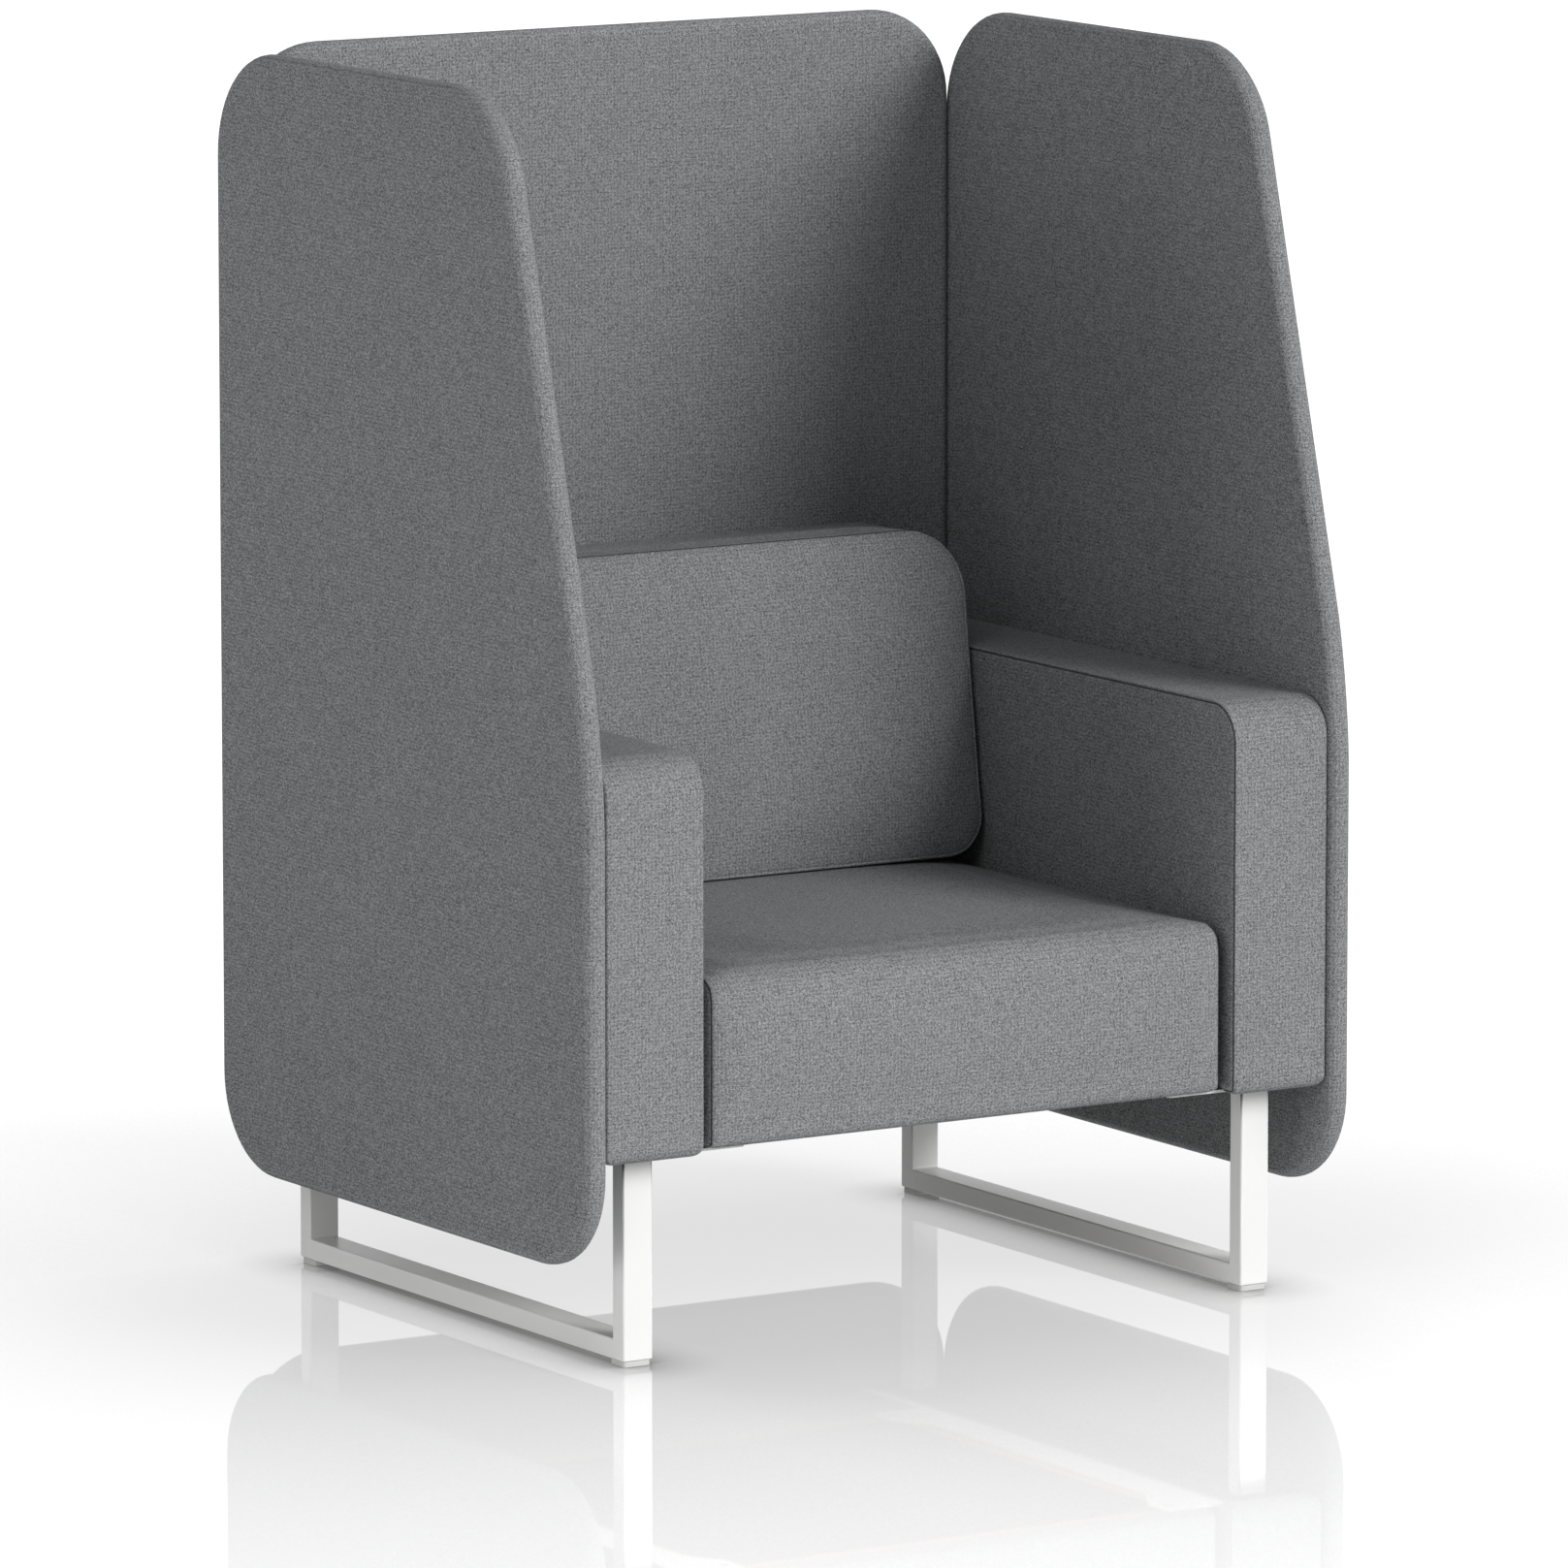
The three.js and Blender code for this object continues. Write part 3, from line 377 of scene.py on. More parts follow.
# %% Finishes on the CAD pieces
slot_finishes = {
    "upholstery": cloth,
    "painted_steel": paint_finish(),
    "glide_plastic": plastic_finish(),
    "zinc_steel": zinc_finish(),
    "timber": timber_finish(),
    "dust_cloth": dust_cloth_finish(),
    "webbing": webbing_finish(),
}
for part in frame["record"]["subparts"]:
    mesh = frame["nodes"][part["node"]].data
    mesh.materials.clear()
    mesh.materials.append(slot_finishes[part["material_slot"]])
print("finishes", sorted(slot_finishes))

# %% [markdown]
# ## Shapes from an outline
# Screens, arms and the backrest are all one idea: a flat outline with rounded corners,
# given a thickness, then softened round both rims as foam under cloth is. A bmesh starts
# from the outline's few corners. A vertex bevel rounds a corner and an edge bevel rounds
# a rim.

# %% Outline


def millimetres(*numbers):
    return Vector([number / 1000 for number in numbers])


def outline_mesh(corners, radii, steps=14):
    """A face whose corners are rounded. A radius becomes the length cut from each side."""
    bm = bmesh.new()
    verts = [bm.verts.new(corner) for corner in corners]
    bm.faces.new(verts)
    for i, (vert, radius) in enumerate(zip(verts, radii)):
        before = (corners[i - 1] - corners[i]).normalized()
        after = (corners[(i + 1) % len(corners)] - corners[i]).normalized()
        half_turn = (math.pi - before.angle(after)) / 2
        cut = radius / 1000 * math.tan(half_turn)
        if cut > 0:
            bmesh.ops.bevel(
                bm, geom=[vert], offset=cut, offset_type="ABSOLUTE", segments=steps,
                profile=0.5, affect="VERTICES", material=-1,
            )
    return bm


# %% Thickness and rims
nearly_parallel = 0.999


def thicken(bm, way):
    extruded = bmesh.ops.extrude_face_region(bm, geom=bm.faces[:])["geom"]
    moved = [item for item in extruded if isinstance(item, bmesh.types.BMVert)]
    bmesh.ops.translate(bm, verts=moved, vec=way)
    bmesh.ops.recalc_face_normals(bm, faces=bm.faces)


def cap_faces(bm, way):
    axis = way.normalized()
    return [face for face in bm.faces if abs(face.normal.dot(axis)) > nearly_parallel]


def round_edges(bm, edges, radius, steps):
    bmesh.ops.bevel(
        bm, geom=edges, offset=radius / 1000, offset_type="OFFSET", segments=steps,
        profile=0.5, affect="EDGES", clamp_overlap=True, material=-1,
    )


def round_rims(bm, way, radius, steps=5):
    edges = {edge for face in cap_faces(bm, way) for edge in face.edges}
    round_edges(bm, list(edges), radius, steps)


# %% A finished piece on the chair


def finished(bm, name, material, soft=True):
    mesh = bpy.data.meshes.new(name)
    bm.normal_update()
    bm.to_mesh(mesh)
    bm.free()
    mesh.materials.append(material)
    piece = bpy.data.objects.new(name, mesh)
    scene.collection.objects.link(piece)
    if soft:
        mesh.polygons.foreach_set("use_smooth", [True] * len(mesh.polygons))
        normals = piece.modifiers.new("even_shading", "WEIGHTED_NORMAL")
        normals.mode = "FACE_AREA"
        normals.weight = 100
    return piece


def on_chair(piece, slot, *nodes):
    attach(piece, "root")
    if nodes:
        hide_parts(*nodes)
    size = [round(side * 1000) for side in piece.dimensions]
    print(piece.name, len(piece.data.polygons), "faces", size, "mm")


def mirrored(bm):
    other = bm.copy()
    bmesh.ops.scale(other, vec=(-1, 1, 1), verts=other.verts)
    bmesh.ops.reverse_faces(other, faces=other.faces)
    return other


# %% [markdown]
# ## The screens
# Each screen is a board between thin foam pads, in one tight cover. Its faces are flat
# and its rim is round. The side screens lean back above the arms in one long bend. A cube
# with bevelled edges would do for a plain board, but the bend asks for an outline with
# one more corner, rounded so widely that it reads as a curve.

# %% Screens
wing_low, wing_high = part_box("side_screen_outer_pad_right")
screen_thickness, screen_rim = 28, 12
wing_outer_x = wing_high[0] * 1000
front_y, wing_rear_y = wing_low[1] * 1000, wing_high[1] * 1000
screen_bottom, screen_top = wing_low[2] * 1000, wing_high[2] * 1000
wing_bend_z, wing_top_setback = 690, 192
wing_radii = [111, 111, 122, 126, 700]
back_screen_radius = 104


def side_screen():
    x = wing_outer_x - screen_thickness
    corners = [
        millimetres(x, front_y, screen_bottom),
        millimetres(x, wing_rear_y, screen_bottom),
        millimetres(x, wing_rear_y, screen_top),
        millimetres(x, front_y + wing_top_setback, screen_top),
        millimetres(x, front_y, wing_bend_z),
    ]
    bm = outline_mesh(corners, wing_radii)
    thickness = millimetres(screen_thickness, 0, 0)
    thicken(bm, thickness)
    round_rims(bm, thickness, screen_rim)
    return bm


def add_screens():
    right = side_screen()
    left = mirrored(right)
    for side, bm in (("right", right), ("left", left)):
        piece = finished(bm, f"side_screen_cover_{side}", cloth)
        pads = [f"side_screen_{face}_pad_{side}" for face in ("outer", "inner")]
        on_chair(piece, "upholstery", *pads)


# %% The back screen


def add_back_screen():
    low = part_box("back_screen_front_pad")[0] * 1000
    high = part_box("back_screen_rear_pad")[1] * 1000
    corners = [
        millimetres(low[0], low[1], low[2]),
        millimetres(high[0], low[1], low[2]),
        millimetres(high[0], low[1], high[2]),
        millimetres(low[0], low[1], high[2]),
    ]
    bm = outline_mesh(corners, [back_screen_radius] * 4)
    thickness = millimetres(0, screen_thickness, 0)
    thicken(bm, thickness)
    round_rims(bm, thickness, screen_rim)
    piece = finished(bm, "back_screen_cover", cloth)
    on_chair(piece, "upholstery", "back_screen_front_pad", "back_screen_rear_pad")


add_screens()
add_back_screen()

# %% [markdown]
# ## The arms and the backrest
# An arm is sewn from a band that runs up its front and over its top, and two side
# panels. The seam beside the sitter lies just behind the arris: first a ridge, where the
# band's foam pushes the cloth out, then a narrow dark valley. Rings of one rounded
# outline, each set in a little further and at its own depth, draw that section, and
# bridging each ring to the next makes the surface. The outer side, next to the screen,
# has only a small round edge.

# %% Sewn blocks


def ring(bm, points):
    verts = [bm.verts.new(point) for point in points]
    return [bm.edges.new((vert, verts[i - 1])) for i, vert in enumerate(verts)]


def corner_points(corners, radii, steps):
    bm = outline_mesh(corners, radii, steps)
    points = [loop.vert.co.copy() for loop in bm.faces[:][0].loops]
    bm.free()
    return points


def sewn_block(outline_at, section):
    """outline_at(inset, x) gives a ring's points. section lists each ring's inset and x."""
    bm = bmesh.new()
    rings = [ring(bm, outline_at(inset, x)) for inset, x in section]
    for here, there in zip(rings, rings[1:]):
        bmesh.ops.bridge_loops(bm, edges=here + there)
    for end in (rings[0], rings[-1]):
        bmesh.ops.contextual_create(bm, geom=end)
    bmesh.ops.recalc_face_normals(bm, faces=bm.faces)
    return bm


# %% The arms
arm_low, arm_high = [point * 1000 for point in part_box("arm_band_right")]
sewn_side = [
    (16, 0), (9, 0.2), (6.4, 0.8), (5, 1.8), (4.2, 2.5), (3.2, 2.5),
    (2.4, 1.7), (1.5, 1.1), (0.7, 1.2), (0.2, 1.8), (0, 2.8),
]
plain_side = [(0, 4), (0.3, 2.4), (1.2, 1.2), (2.4, 0.3), (4, 0)]
arm_radii = (14, 8, 8, 46)
lower_edge_radius = 12


def arm_outline(inset, x):
    front, rear = arm_low[1] + inset, arm_high[1] - inset
    bottom, top = arm_low[2] + inset, arm_high[2] - inset
    corners = [(front, bottom), (rear, bottom), (rear, top), (front, top)]
    radii = [max(radius - inset, 0.5) for radius in arm_radii]
    points = corner_points([millimetres(x, y, z) for y, z in corners], radii, 10)
    return [rounded_below(point) for point in points]


def rounded_below(point):
    """The long lower edges are rounder than the others, so points near them move inwards."""
    rise = lower_edge_radius - (point.z * 1000 - arm_low[2])
    if rise <= 0:
        return point
    inwards = lower_edge_radius - math.sqrt(max(lower_edge_radius ** 2 - rise ** 2, 0))
    middle = (arm_low[0] + arm_high[0]) / 2
    return point + millimetres(math.copysign(inwards, middle - point.x * 1000), 0, 0)


def arm():
    section = [(inset, arm_low[0] + depth) for inset, depth in sewn_side]
    section += [(inset, arm_high[0] - depth) for inset, depth in plain_side]
    return sewn_block(arm_outline, section)


def add_arms():
    right = arm()
    left = mirrored(right)
    for side, bm in (("right", right), ("left", left)):
        piece = finished(bm, f"arm_cover_{side}", cloth)
        on_chair(
            piece, "upholstery",
            f"arm_band_{side}", f"arm_inner_panel_{side}", f"arm_outer_panel_{side}",
        )


add_arms()

# %% [markdown]
# The backrest is a block whose front leans back above the knee where the loose cushion
# starts. Only its top and its sides show, between the cushion and the back screen.

# %% Backrest cover
lean = math.tan(math.radians(8.3))
backrest_radii, backrest_rim = [6, 3, 6, 14, 60], 6


def add_backrest():
    low, high = [point * 1000 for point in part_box("backrest_cover")]
    knee_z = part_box("back_cushion")[0].z * 1000
    corners = [
        millimetres(low[0], low[1], low[2]),
        millimetres(low[0], high[1], low[2]),
        millimetres(low[0], high[1], high[2]),
        millimetres(low[0], low[1] + (high[2] - knee_z) * lean, high[2]),
        millimetres(low[0], low[1], knee_z),
    ]
    bm = outline_mesh(corners, backrest_radii, steps=6)
    thickness = millimetres(high[0] - low[0], 0, 0)
    thicken(bm, thickness)
    round_rims(bm, thickness, backrest_rim, steps=4)
    piece = finished(bm, "backrest_pad", cloth)
    on_chair(piece, "upholstery", "backrest_cover")


add_backrest()

# %% [markdown]
# ## The sled legs
# A leg is one loop of flat tube: two posts and a floor bar, mitred, welded and ground
# flush before painting. Three boxes would leave seams where they meet. A U-shaped face,
# given the tube's width and softened edges, has no joint left to see.

# %% Legs
tube_edge_radius = 2.5
same_height, surely_upright = 1e-5, 0.1


def leg():
    bar_low, bar_high = [point * 1000 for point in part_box("leg_floor_bar_right")]
    front_low, front_high = [point * 1000 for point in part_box("leg_front_post_right")]
    rear_low, rear_high = [point * 1000 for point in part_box("leg_rear_post_right")]
    x, top = bar_low[0], front_high[2]
    corners = [
        millimetres(x, front_low[1], top),
        millimetres(x, front_low[1], bar_low[2]),
        millimetres(x, rear_high[1], bar_low[2]),
        millimetres(x, rear_high[1], top),
        millimetres(x, rear_low[1], top),
        millimetres(x, rear_low[1], bar_high[2]),
        millimetres(x, front_high[1], bar_high[2]),
        millimetres(x, front_high[1], top),
    ]
    bm = outline_mesh(corners, [0] * 8)
    thickness = millimetres(bar_high[0] - bar_low[0], 0, 0)
    thicken(bm, thickness)
    posts_end = top / 1000
    long_edges = [
        edge for edge in bm.edges
        if not any(abs(vert.co.z - posts_end) < same_height for vert in edge.verts)
        or abs(edge.verts[0].co.z - edge.verts[1].co.z) > surely_upright
    ]
    round_edges(bm, long_edges, tube_edge_radius, 4)
    return bm


def add_legs():
    right = leg()
    left = mirrored(right)
    for side, bm in (("right", right), ("left", left)):
        piece = finished(bm, f"sled_leg_{side}", slot_finishes["painted_steel"])
        on_chair(
            piece, "painted_steel",
            f"leg_floor_bar_{side}", f"leg_front_post_{side}", f"leg_rear_post_{side}",
        )


add_legs()

# %% [markdown]
# ## The seat and the back cushion
# These are the deep, soft pads. Each starts as a plain block with rounded edges, is
# remeshed into even squares, takes the crown that its cover gives it, and is then blown
# up a little by the cloth solver. A cap limits how far any point may go, and each move
# is shared with its neighbours, so that no ripple of the solver stays in the cover. One
# subdivision smooths the result. The seat's top starts a little low, because the
# pressure lifts it again.

# %% Even squares
cloth_steps, cloth_pressure = 20, 4
pad_square = 6
calm_share, calm_rounds = 0.5, 4


def even_squares(piece):
    remesh = piece.modifiers.new("even_squares", "REMESH")
    remesh.mode = "VOXEL"
    remesh.voxel_size = pad_square / 1000
    calm = piece.modifiers.new("calm", "SMOOTH")
    calm.factor = calm_share
    calm.iterations = calm_rounds
    bake_modifiers(piece)


def bake_modifiers(piece):
    graph = bpy.context.evaluated_depsgraph_get()
    baked = bpy.data.meshes.new_from_object(piece.evaluated_get(graph))
    old = piece.data
    piece.modifiers.clear()
    piece.data = baked
    bpy.data.meshes.remove(old)
    baked.name = piece.name
    baked.polygons.foreach_set("use_smooth", [True] * len(baked.polygons))


def reshape(piece, place):
    for vert in piece.data.vertices:
        vert.co = place(vert.co)


# %% Moves shared with their neighbours


def evened(moves, mesh, rounds=10):
    """Each move shared with its neighbours, so that the cover swells without ripples."""
    neighbours = [[] for _ in moves]
    for edge in mesh.edges:
        first, second = edge.vertices
        neighbours[first].append(second)
        neighbours[second].append(first)
    for _ in range(rounds):
        moves = [
            (move + sum((moves[i] for i in near), Vector()) / len(near)) / 2
            for move, near in zip(moves, neighbours)
        ]
    return moves


# %% Cloth under pressure


def blow_up(piece, cap):
    """Cloth under pressure. cap gives the most a point may move, from its place and normal."""
    solver = piece.modifiers.new("pressure", "CLOTH")
    solver.settings.use_pressure = True
    solver.settings.uniform_pressure_force = cloth_pressure
    solver.settings.effector_weights.gravity = 0
    solver.point_cache.frame_start = 1
    solver.point_cache.frame_end = cloth_steps
    start = [vert.co.copy() for vert in piece.data.vertices]
    normals = [vert.normal.copy() for vert in piece.data.vertices]
    for step in range(1, cloth_steps + 1):
        scene.frame_set(step)
    graph = bpy.context.evaluated_depsgraph_get()
    blown = [vert.co.copy() for vert in piece.evaluated_get(graph).data.vertices]
    piece.modifiers.clear()
    scene.frame_set(1)
    capped = []
    for place, target, normal in zip(start, blown, normals):
        move = target - place
        limit = cap(place, normal) / 1000
        length = move.length
        share = limit * math.tanh(length / limit) / length if length > 0 and limit > 0 else 0
        capped.append(move * share)
    moves = evened(capped, piece.data)
    for vert, place, move in zip(piece.data.vertices, start, moves):
        vert.co = place + move
    furthest = max(move.length for move in moves)
    print(piece.name, "blown up by at most", round(furthest * 1000, 1), "mm")


# %% Smoothing and bulging


def subdivided(piece):
    smooth = piece.modifiers.new("smooth", "SUBSURF")
    smooth.levels = smooth.render_levels = 1
    bake_modifiers(piece)


def bulge(share, power=2):
    return max(1 - abs(share) ** power, 0)


# %% [markdown]
# The seat is a band that runs up the front and over the top, between two flat side
# panels. On the real chair it fills the space between the arms a little more than the
# plain CAD cushion does, so the pad starts wider and further forward. Its front swells
# forward in the middle and its top is crowned.

# %% Seat
seat_low, seat_high = [point * 1000 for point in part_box("seat_cushion")]
seat_crown, seat_crown_deep, front_swell = 9, 3, 4
seat_wider, seat_further = 1.5, 1
seat_half_width = seat_high[0] + seat_wider
seat_front = seat_low[1] - seat_further
seat_start_low = 1.5
seat_radii, seat_rim = [9, 8, 8, 28], 4.5
seat_lift, seat_push, seat_spread = 3, 2.5, 1.5
seat_still_below = 6
pocket_gap, pocket_above, pocket_below = 0.3, 11, 20


def seat_block():
    """A band round the front and top, between two side panels with rounded front corners."""
    x, y = -seat_half_width, seat_front
    top = seat_high[2] - seat_crown
    corners = [
        millimetres(x, y, seat_low[2]),
        millimetres(x, seat_high[1], seat_low[2]),
        millimetres(x, seat_high[1], top),
        millimetres(x, y, top),
    ]
    bm = outline_mesh(corners, seat_radii, steps=8)
    width = millimetres(2 * seat_half_width, 0, 0)
    thicken(bm, width)
    round_rims(bm, width, seat_rim, steps=4)
    return bm


# %% The seat's crown and its cap


def seat_crowned(place):
    middle_y = (seat_front + seat_high[1]) / 2
    share_x = place.x * 1000 / seat_half_width
    share_y = (place.y * 1000 - middle_y) / (seat_high[1] - middle_y)
    height = (place.z * 1000 - seat_low[2]) / (seat_high[2] - seat_crown - seat_low[2])
    share_z = height * 2 - 1
    across, along = bulge(share_x, 4), bulge(share_y, 4)
    rise = max(share_z, 0) * across * (seat_crown - seat_crown_deep + seat_crown_deep * along)
    swell = max(-share_y, 0) * front_swell * across * bulge(share_z)
    return place + millimetres(0, -swell, rise - seat_start_low * max(share_z, 0))


def seat_cap(place, normal):
    if place.z * 1000 < seat_low[2] + seat_still_below:
        return 0
    lift, push = seat_lift * max(normal.z, 0), seat_push * max(-normal.y, 0)
    return lift + push + seat_spread * abs(normal.x)


def add_seat():
    piece = finished(seat_block(), "seat_pad", cloth, soft=False)
    even_squares(piece)
    reshape(piece, seat_crowned)
    blow_up(piece, seat_cap)
    subdivided(piece)
    open_pocket(piece)
    on_chair(piece, "upholstery", "seat_cushion")
    return piece


def open_pocket(piece):
    """The pad is open below, where the seat frame sits in it."""
    frame_low, frame_high = [point * 1000 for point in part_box("seat_frame")]
    bm = bmesh.new()
    bmesh.ops.create_cube(bm, size=1)
    low = millimetres(
        frame_low[0] - pocket_gap, frame_low[1] - pocket_gap, seat_low[2] - pocket_below,
    )
    high = millimetres(
        frame_high[0] + pocket_gap, frame_high[1] + pocket_gap, frame_high[2] + pocket_above,
    )
    bmesh.ops.scale(bm, vec=high - low, verts=bm.verts)
    bmesh.ops.translate(bm, vec=(low + high) / 2, verts=bm.verts)
    tool = finished(bm, "pocket", cloth, soft=False)
    cut = piece.modifiers.new("pocket", "BOOLEAN")
    cut.solver = "MANIFOLD"
    cut.object = tool
    bake_modifiers(piece)
    bpy.data.objects.remove(tool)


seat = add_seat()

# %% [markdown]
# The back cushion is loose. It stands on the seat and leans on the backrest, so only its
# front, top and sides are free to swell, and it is sheared back by the backrest's lean.

# %% Back cushion
cushion_low, cushion_high = [point * 1000 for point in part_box("back_cushion")]
cushion_side_bulge = 2.5
cushion_half_width = cushion_high[0] - cushion_side_bulge
cushion_thickness, cushion_height = 150, 383
cushion_front_y = cushion_low[1]
cushion_bottom, cushion_drop = cushion_low[2], 17
cushion_crown = 8
cushion_radii, cushion_rim = [50, 50, 80, 80], 7
cushion_lift, cushion_push, cushion_spread = 3, 3, 0.7
cushion_free_above = 12


def cushion_block():
    x, y = cushion_half_width, cushion_front_y
    corners = [
        millimetres(-x, y, cushion_bottom),
        millimetres(x, y, cushion_bottom),
        millimetres(x, y, cushion_bottom + cushion_height),
        millimetres(-x, y, cushion_bottom + cushion_height),
    ]
    bm = outline_mesh(corners, cushion_radii, steps=10)
    depth = millimetres(0, cushion_thickness, 0)
    thicken(bm, depth)
    round_rims(bm, depth, cushion_rim, steps=5)
    return bm


# %% The back cushion's crown and its cap


def cushion_shares(place):
    share_x = place.x * 1000 / cushion_half_width
    share_y = (place.y * 1000 - cushion_front_y) / cushion_thickness * 2 - 1
    share_z = (place.z * 1000 - cushion_bottom) / cushion_height * 2 - 1
    return share_x, share_y, share_z


def cushion_crowned(place):
    share_x, share_y, share_z = cushion_shares(place)
    crown = min(share_y, 0) * cushion_crown * bulge(share_x, 4) * bulge(share_z, 4)
    side = share_x * cushion_side_bulge * bulge(share_z, 4) * bulge(share_y)
    height = place.z * 1000 - cushion_bottom
    drop = cushion_drop * (share_y + 1) / 2 * height / cushion_height
    return place + millimetres(side, crown + (height - drop) * lean, -drop)


def cushion_cap(place, normal):
    free = min(max(place.z * 1000 - cushion_bottom, 0) / cushion_free_above, 1)
    lift, push = cushion_lift * max(normal.z, 0), cushion_push * max(-normal.y, 0)
    return free * (push + lift + cushion_spread * abs(normal.x))


def add_back_cushion():
    piece = finished(cushion_block(), "back_cushion_pad", cloth, soft=False)
    even_squares(piece)
    reshape(piece, cushion_crowned)
    blow_up(piece, cushion_cap)
    subdivided(piece)
    on_chair(piece, "upholstery", "back_cushion")
    return piece


back_cushion = add_back_cushion()

# %% [markdown]
# ## Seams and welts
# Sewn edges are what makes a pad read as a pad. The back cushion has a rolled welt
# round its front and rear panels, with a seam beside it. The seat's side panels and the
# arms' inner panels are set in with a flat seam. The shade in each seam's groove is painted:
# its tube is a darker copy of the cloth.
# Each runs as a thin tube along a path that is first drawn round the plain block. On
# the pads the path is then dropped onto the finished surface.

# %% A tube along a path


def dropped(points, piece, sink):
    graph = bpy.context.evaluated_depsgraph_get()
    tree = BVHTree.FromObject(piece, graph)
    landed = []
    for point in points:
        place, normal, _, _ = tree.find_nearest(point)
        landed.append(place - normal * sink / 1000)
    return landed


def tube(name, points, radius, material):
    """A round cord along a closed path."""
    curve = bpy.data.curves.new(name, "CURVE")
    curve.dimensions = "3D"
    curve.bevel_depth = radius / 1000
    curve.bevel_resolution = 2
    spline = curve.splines.new("POLY")
    spline.points.add(len(points) - 1)
    for place, point in zip(spline.points, points):
        place.co = (*point, 1)
    spline.use_cyclic_u = True
    drawn = bpy.data.objects.new(name, curve)
    scene.collection.objects.link(drawn)
    graph = bpy.context.evaluated_depsgraph_get()
    mesh = bpy.data.meshes.new_from_object(drawn.evaluated_get(graph))
    bpy.data.objects.remove(drawn)
    mesh.name = name
    mesh.materials.clear()
    mesh.materials.append(material)
    mesh.polygons.foreach_set("use_smooth", [True] * len(mesh.polygons))
    piece = bpy.data.objects.new(name, mesh)
    scene.collection.objects.link(piece)
    return piece


def outline_points(corners, radii, spacing=6):
    places = corner_points(corners, radii, 10)
    points = []
    for i, here in enumerate(places):
        there = places[(i + 1) % len(places)]
        count = max(int((there - here).length * 1000 / spacing), 1)
        points += [here.lerp(there, k / count) for k in range(count)]
    return points


# %% Cushion welts
welt_radius, welt_inset, welt_sink = 1.9, 3, 0.2
seam_radius, seam_inset, seam_sink = 0.9, 0.5, 0.3
arm_seam_radius, arm_seam_inset, arm_seam_depth = 0.85, 3.7, 1.9
seat_seam_inset = 2
welt_share, seam_share = 0.97, 0.93


def cushion_seam(share_y, inset):
    x = cushion_half_width - inset
    y = cushion_front_y + (share_y + 1) / 2 * cushion_thickness
    low, high = cushion_bottom + inset, cushion_bottom + cushion_height - inset
    corners = [
        millimetres(-x, y, low),
        millimetres(x, y, low),
        millimetres(x, y, high),
        millimetres(-x, y, high),
    ]
    points = outline_points(corners, [radius - inset for radius in cushion_radii])
    return [cushion_crowned(point) for point in points]


def add_cushion_welts():
    for name, share_y in (("front", -welt_share), ("rear", welt_share)):
        path = dropped(cushion_seam(share_y, welt_inset), back_cushion, welt_sink)
        welt = tube(f"back_cushion_{name}_welt", path, welt_radius, cloth)
        on_chair(welt, "upholstery")
        # Painted shade: a dark tube for the shade in the groove beside the welt.
        path = cushion_seam(share_y * seam_share, seam_inset)
        path = dropped(path, back_cushion, seam_sink)
        seam = tube(f"back_cushion_{name}_seam", path, seam_radius, painted_seam_shade)
        on_chair(seam, "upholstery")


# %% Arm seams and seat seams


def add_arm_seams():
    """Painted shade: a dark tube along the valley behind the arm's inner arris."""
    points = arm_outline(arm_seam_inset, arm_low[0] + arm_seam_depth)
    for side, name in ((1, "right"), (-1, "left")):
        path = [Vector((side * point.x, point.y, point.z)) for point in points]
        seam = tube(f"arm_seam_{name}", path, arm_seam_radius, painted_shallow_seam_shade)
        on_chair(seam, "upholstery")


def add_seat_seams():
    inset = seat_seam_inset
    low, high = seat_low[2] + inset, seat_high[2] - seat_crown - inset
    front, rear = seat_front + inset, seat_high[1] - inset
    for side, name in ((-1, "left"), (1, "right")):
        x = side * (seat_half_width - inset)
        corners = [
            millimetres(x, front, low),
            millimetres(x, rear, low),
            millimetres(x, rear, high),
            millimetres(x, front, high),
        ]
        points = outline_points(corners, [radius - inset for radius in seat_radii])
        path = dropped([seat_crowned(point) for point in points], seat, seam_sink)
        # Painted shade: a dark tube for the shade in the flat seam round the side panel.
        seam = tube(f"seat_seam_{name}", path, seam_radius, painted_seam_shade)
        on_chair(seam, "upholstery")


add_cushion_welts()
add_arm_seams()
add_seat_seams()

# %% [markdown]
# ## Floor, light and background
# The studio is white: a wide glossy floor that fades into a white world. Camera and
# mirror rays see the white directly, so the lamps can stay at a plain level and the
# cloth keeps its own grey. Two ambient occlusions darken the floor as the chair closes
# it in: a wide one for the soft shade round the chair, and a narrow one for the dark
# line where the runners all but touch the floor. The rays that bounce on to the chair
# meet a nearly plain floor instead, lifted by a little glow.
#
# The key light stands in front and a little to the right, which is why the fronts are
# the palest faces in the picture. Three weak lamps fill the sides.

# %% Floor
floor_white = (0.9, 0.9, 0.9, 1)
floor_half_side = 60
shade_reach, shade_falloff = 2.2, 6.0
contact_reach, contact_falloff = 0.09, 2.0
glow_level, shade_level, contact_level = 1.75, 1.0, 0.12
bounce_glow, seen_glow, mirror_share = 0.073, 0.7, 0.31
mirror_roughness = 0.02


def openness(finish, reach, falloff):
    """One where nothing is within reach of the floor, and less where the chair is near."""
    occlusion = finish.node("ShaderNodeAmbientOcclusion", {"samples": 8}, {"Distance": reach})
    return occlusion["AO"] ** falloff


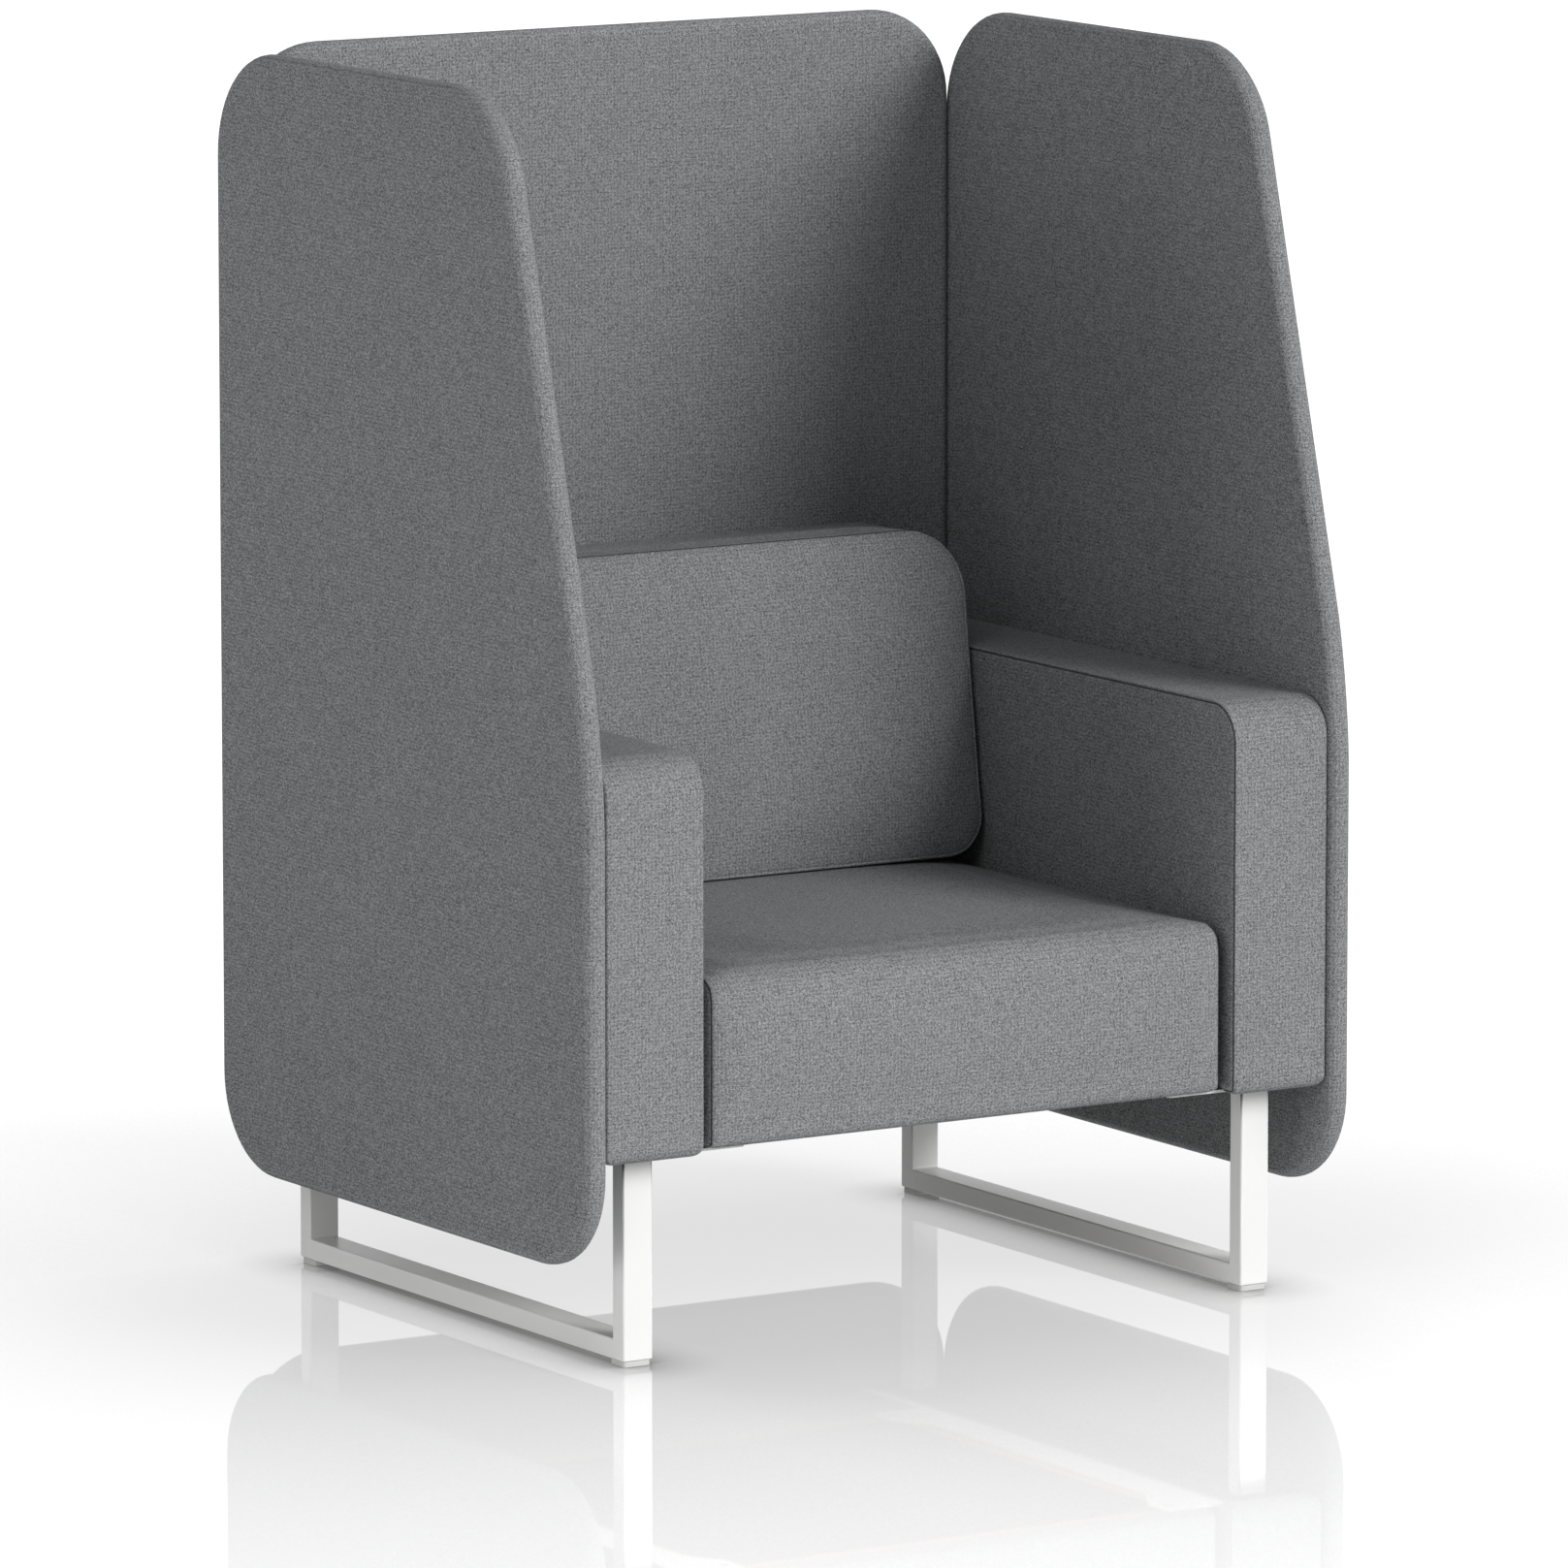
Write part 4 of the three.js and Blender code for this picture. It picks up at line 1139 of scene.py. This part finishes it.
def floor_finish():
    finish = Finish("studio_floor")
    camera_sees = finish.node("ShaderNodeLightPath")["Is Camera Ray"]
    lit = finish.node("ShaderNodeBsdfDiffuse", None, {"Color": floor_white})["BSDF"]
    shade, glow = finish.glowing(shade_level), finish.glowing(glow_level)
    bounce = finish.blended(bounce_glow, lit, glow)
    around = finish.blended(openness(finish, shade_reach, shade_falloff), shade, glow)
    seen = finish.blended(seen_glow, lit, around)
    close = openness(finish, contact_reach, contact_falloff)
    seen = finish.blended(close, finish.glowing(contact_level), seen)
    mirror = finish.node("ShaderNodeBsdfGlossy", None, {"Roughness": mirror_roughness})["BSDF"]
    polished = finish.blended(mirror_share, seen, mirror)
    shown = finish.blended(camera_sees, bounce, polished)
    finish.node("ShaderNodeOutputMaterial", None, {"Surface": shown})
    return finish.material


def add_floor():
    bm = bmesh.new()
    bmesh.ops.create_grid(bm, x_segments=1, y_segments=1, size=floor_half_side)
    floor = finished(bm, "studio_floor", floor_finish(), soft=False)


add_floor()

# %% World
world_level, white_level = 0.16, 1.0


def white_sky(graph, level):
    inputs = {"Color": (1, 1, 1, 1), "Strength": level}
    return graph.node("ShaderNodeBackground", None, inputs)["Background"]


def add_world():
    world = bpy.data.worlds.new("studio")
    world.use_nodes = True
    graph = Graph(world.node_tree)
    paths = graph.node("ShaderNodeLightPath")
    seen = paths["Is Camera Ray"].larger(paths["Is Glossy Ray"])
    sky = graph.blended(seen, white_sky(graph, world_level), white_sky(graph, white_level))
    graph.node("ShaderNodeOutputWorld", None, {"Surface": sky})
    scene.world = world


# %% Lamps


def add_sun(name, turn, height, softness, level):
    """The lamp's turn and height, its softness in degrees across, and its level."""
    turn, height = math.radians(turn), math.radians(height)
    way = Vector((
        math.sin(turn) * math.cos(height),
        -math.cos(turn) * math.cos(height),
        math.sin(height),
    ))
    data = bpy.data.lights.new(name, "SUN")
    data.angle = math.radians(softness)
    data.energy = level
    lamp = bpy.data.objects.new(name, data)
    lamp.rotation_euler = way.to_track_quat("Z", "Y").to_euler()
    scene.collection.objects.link(lamp)
    print(name, "level", level)


add_world()
for name, turn, height, softness, level in (
    ("key_light", 28, 28, 30, 2.27),
    ("low_right_fill", 60, 8, 30, 0.6),
    ("left_fill", -60, 32, 30, 0.4),
    ("low_left_fill", -90, 8, 30, 0.64),
):
    add_sun(name, turn, height, softness, level)
scene.view_settings.view_transform = "Standard"
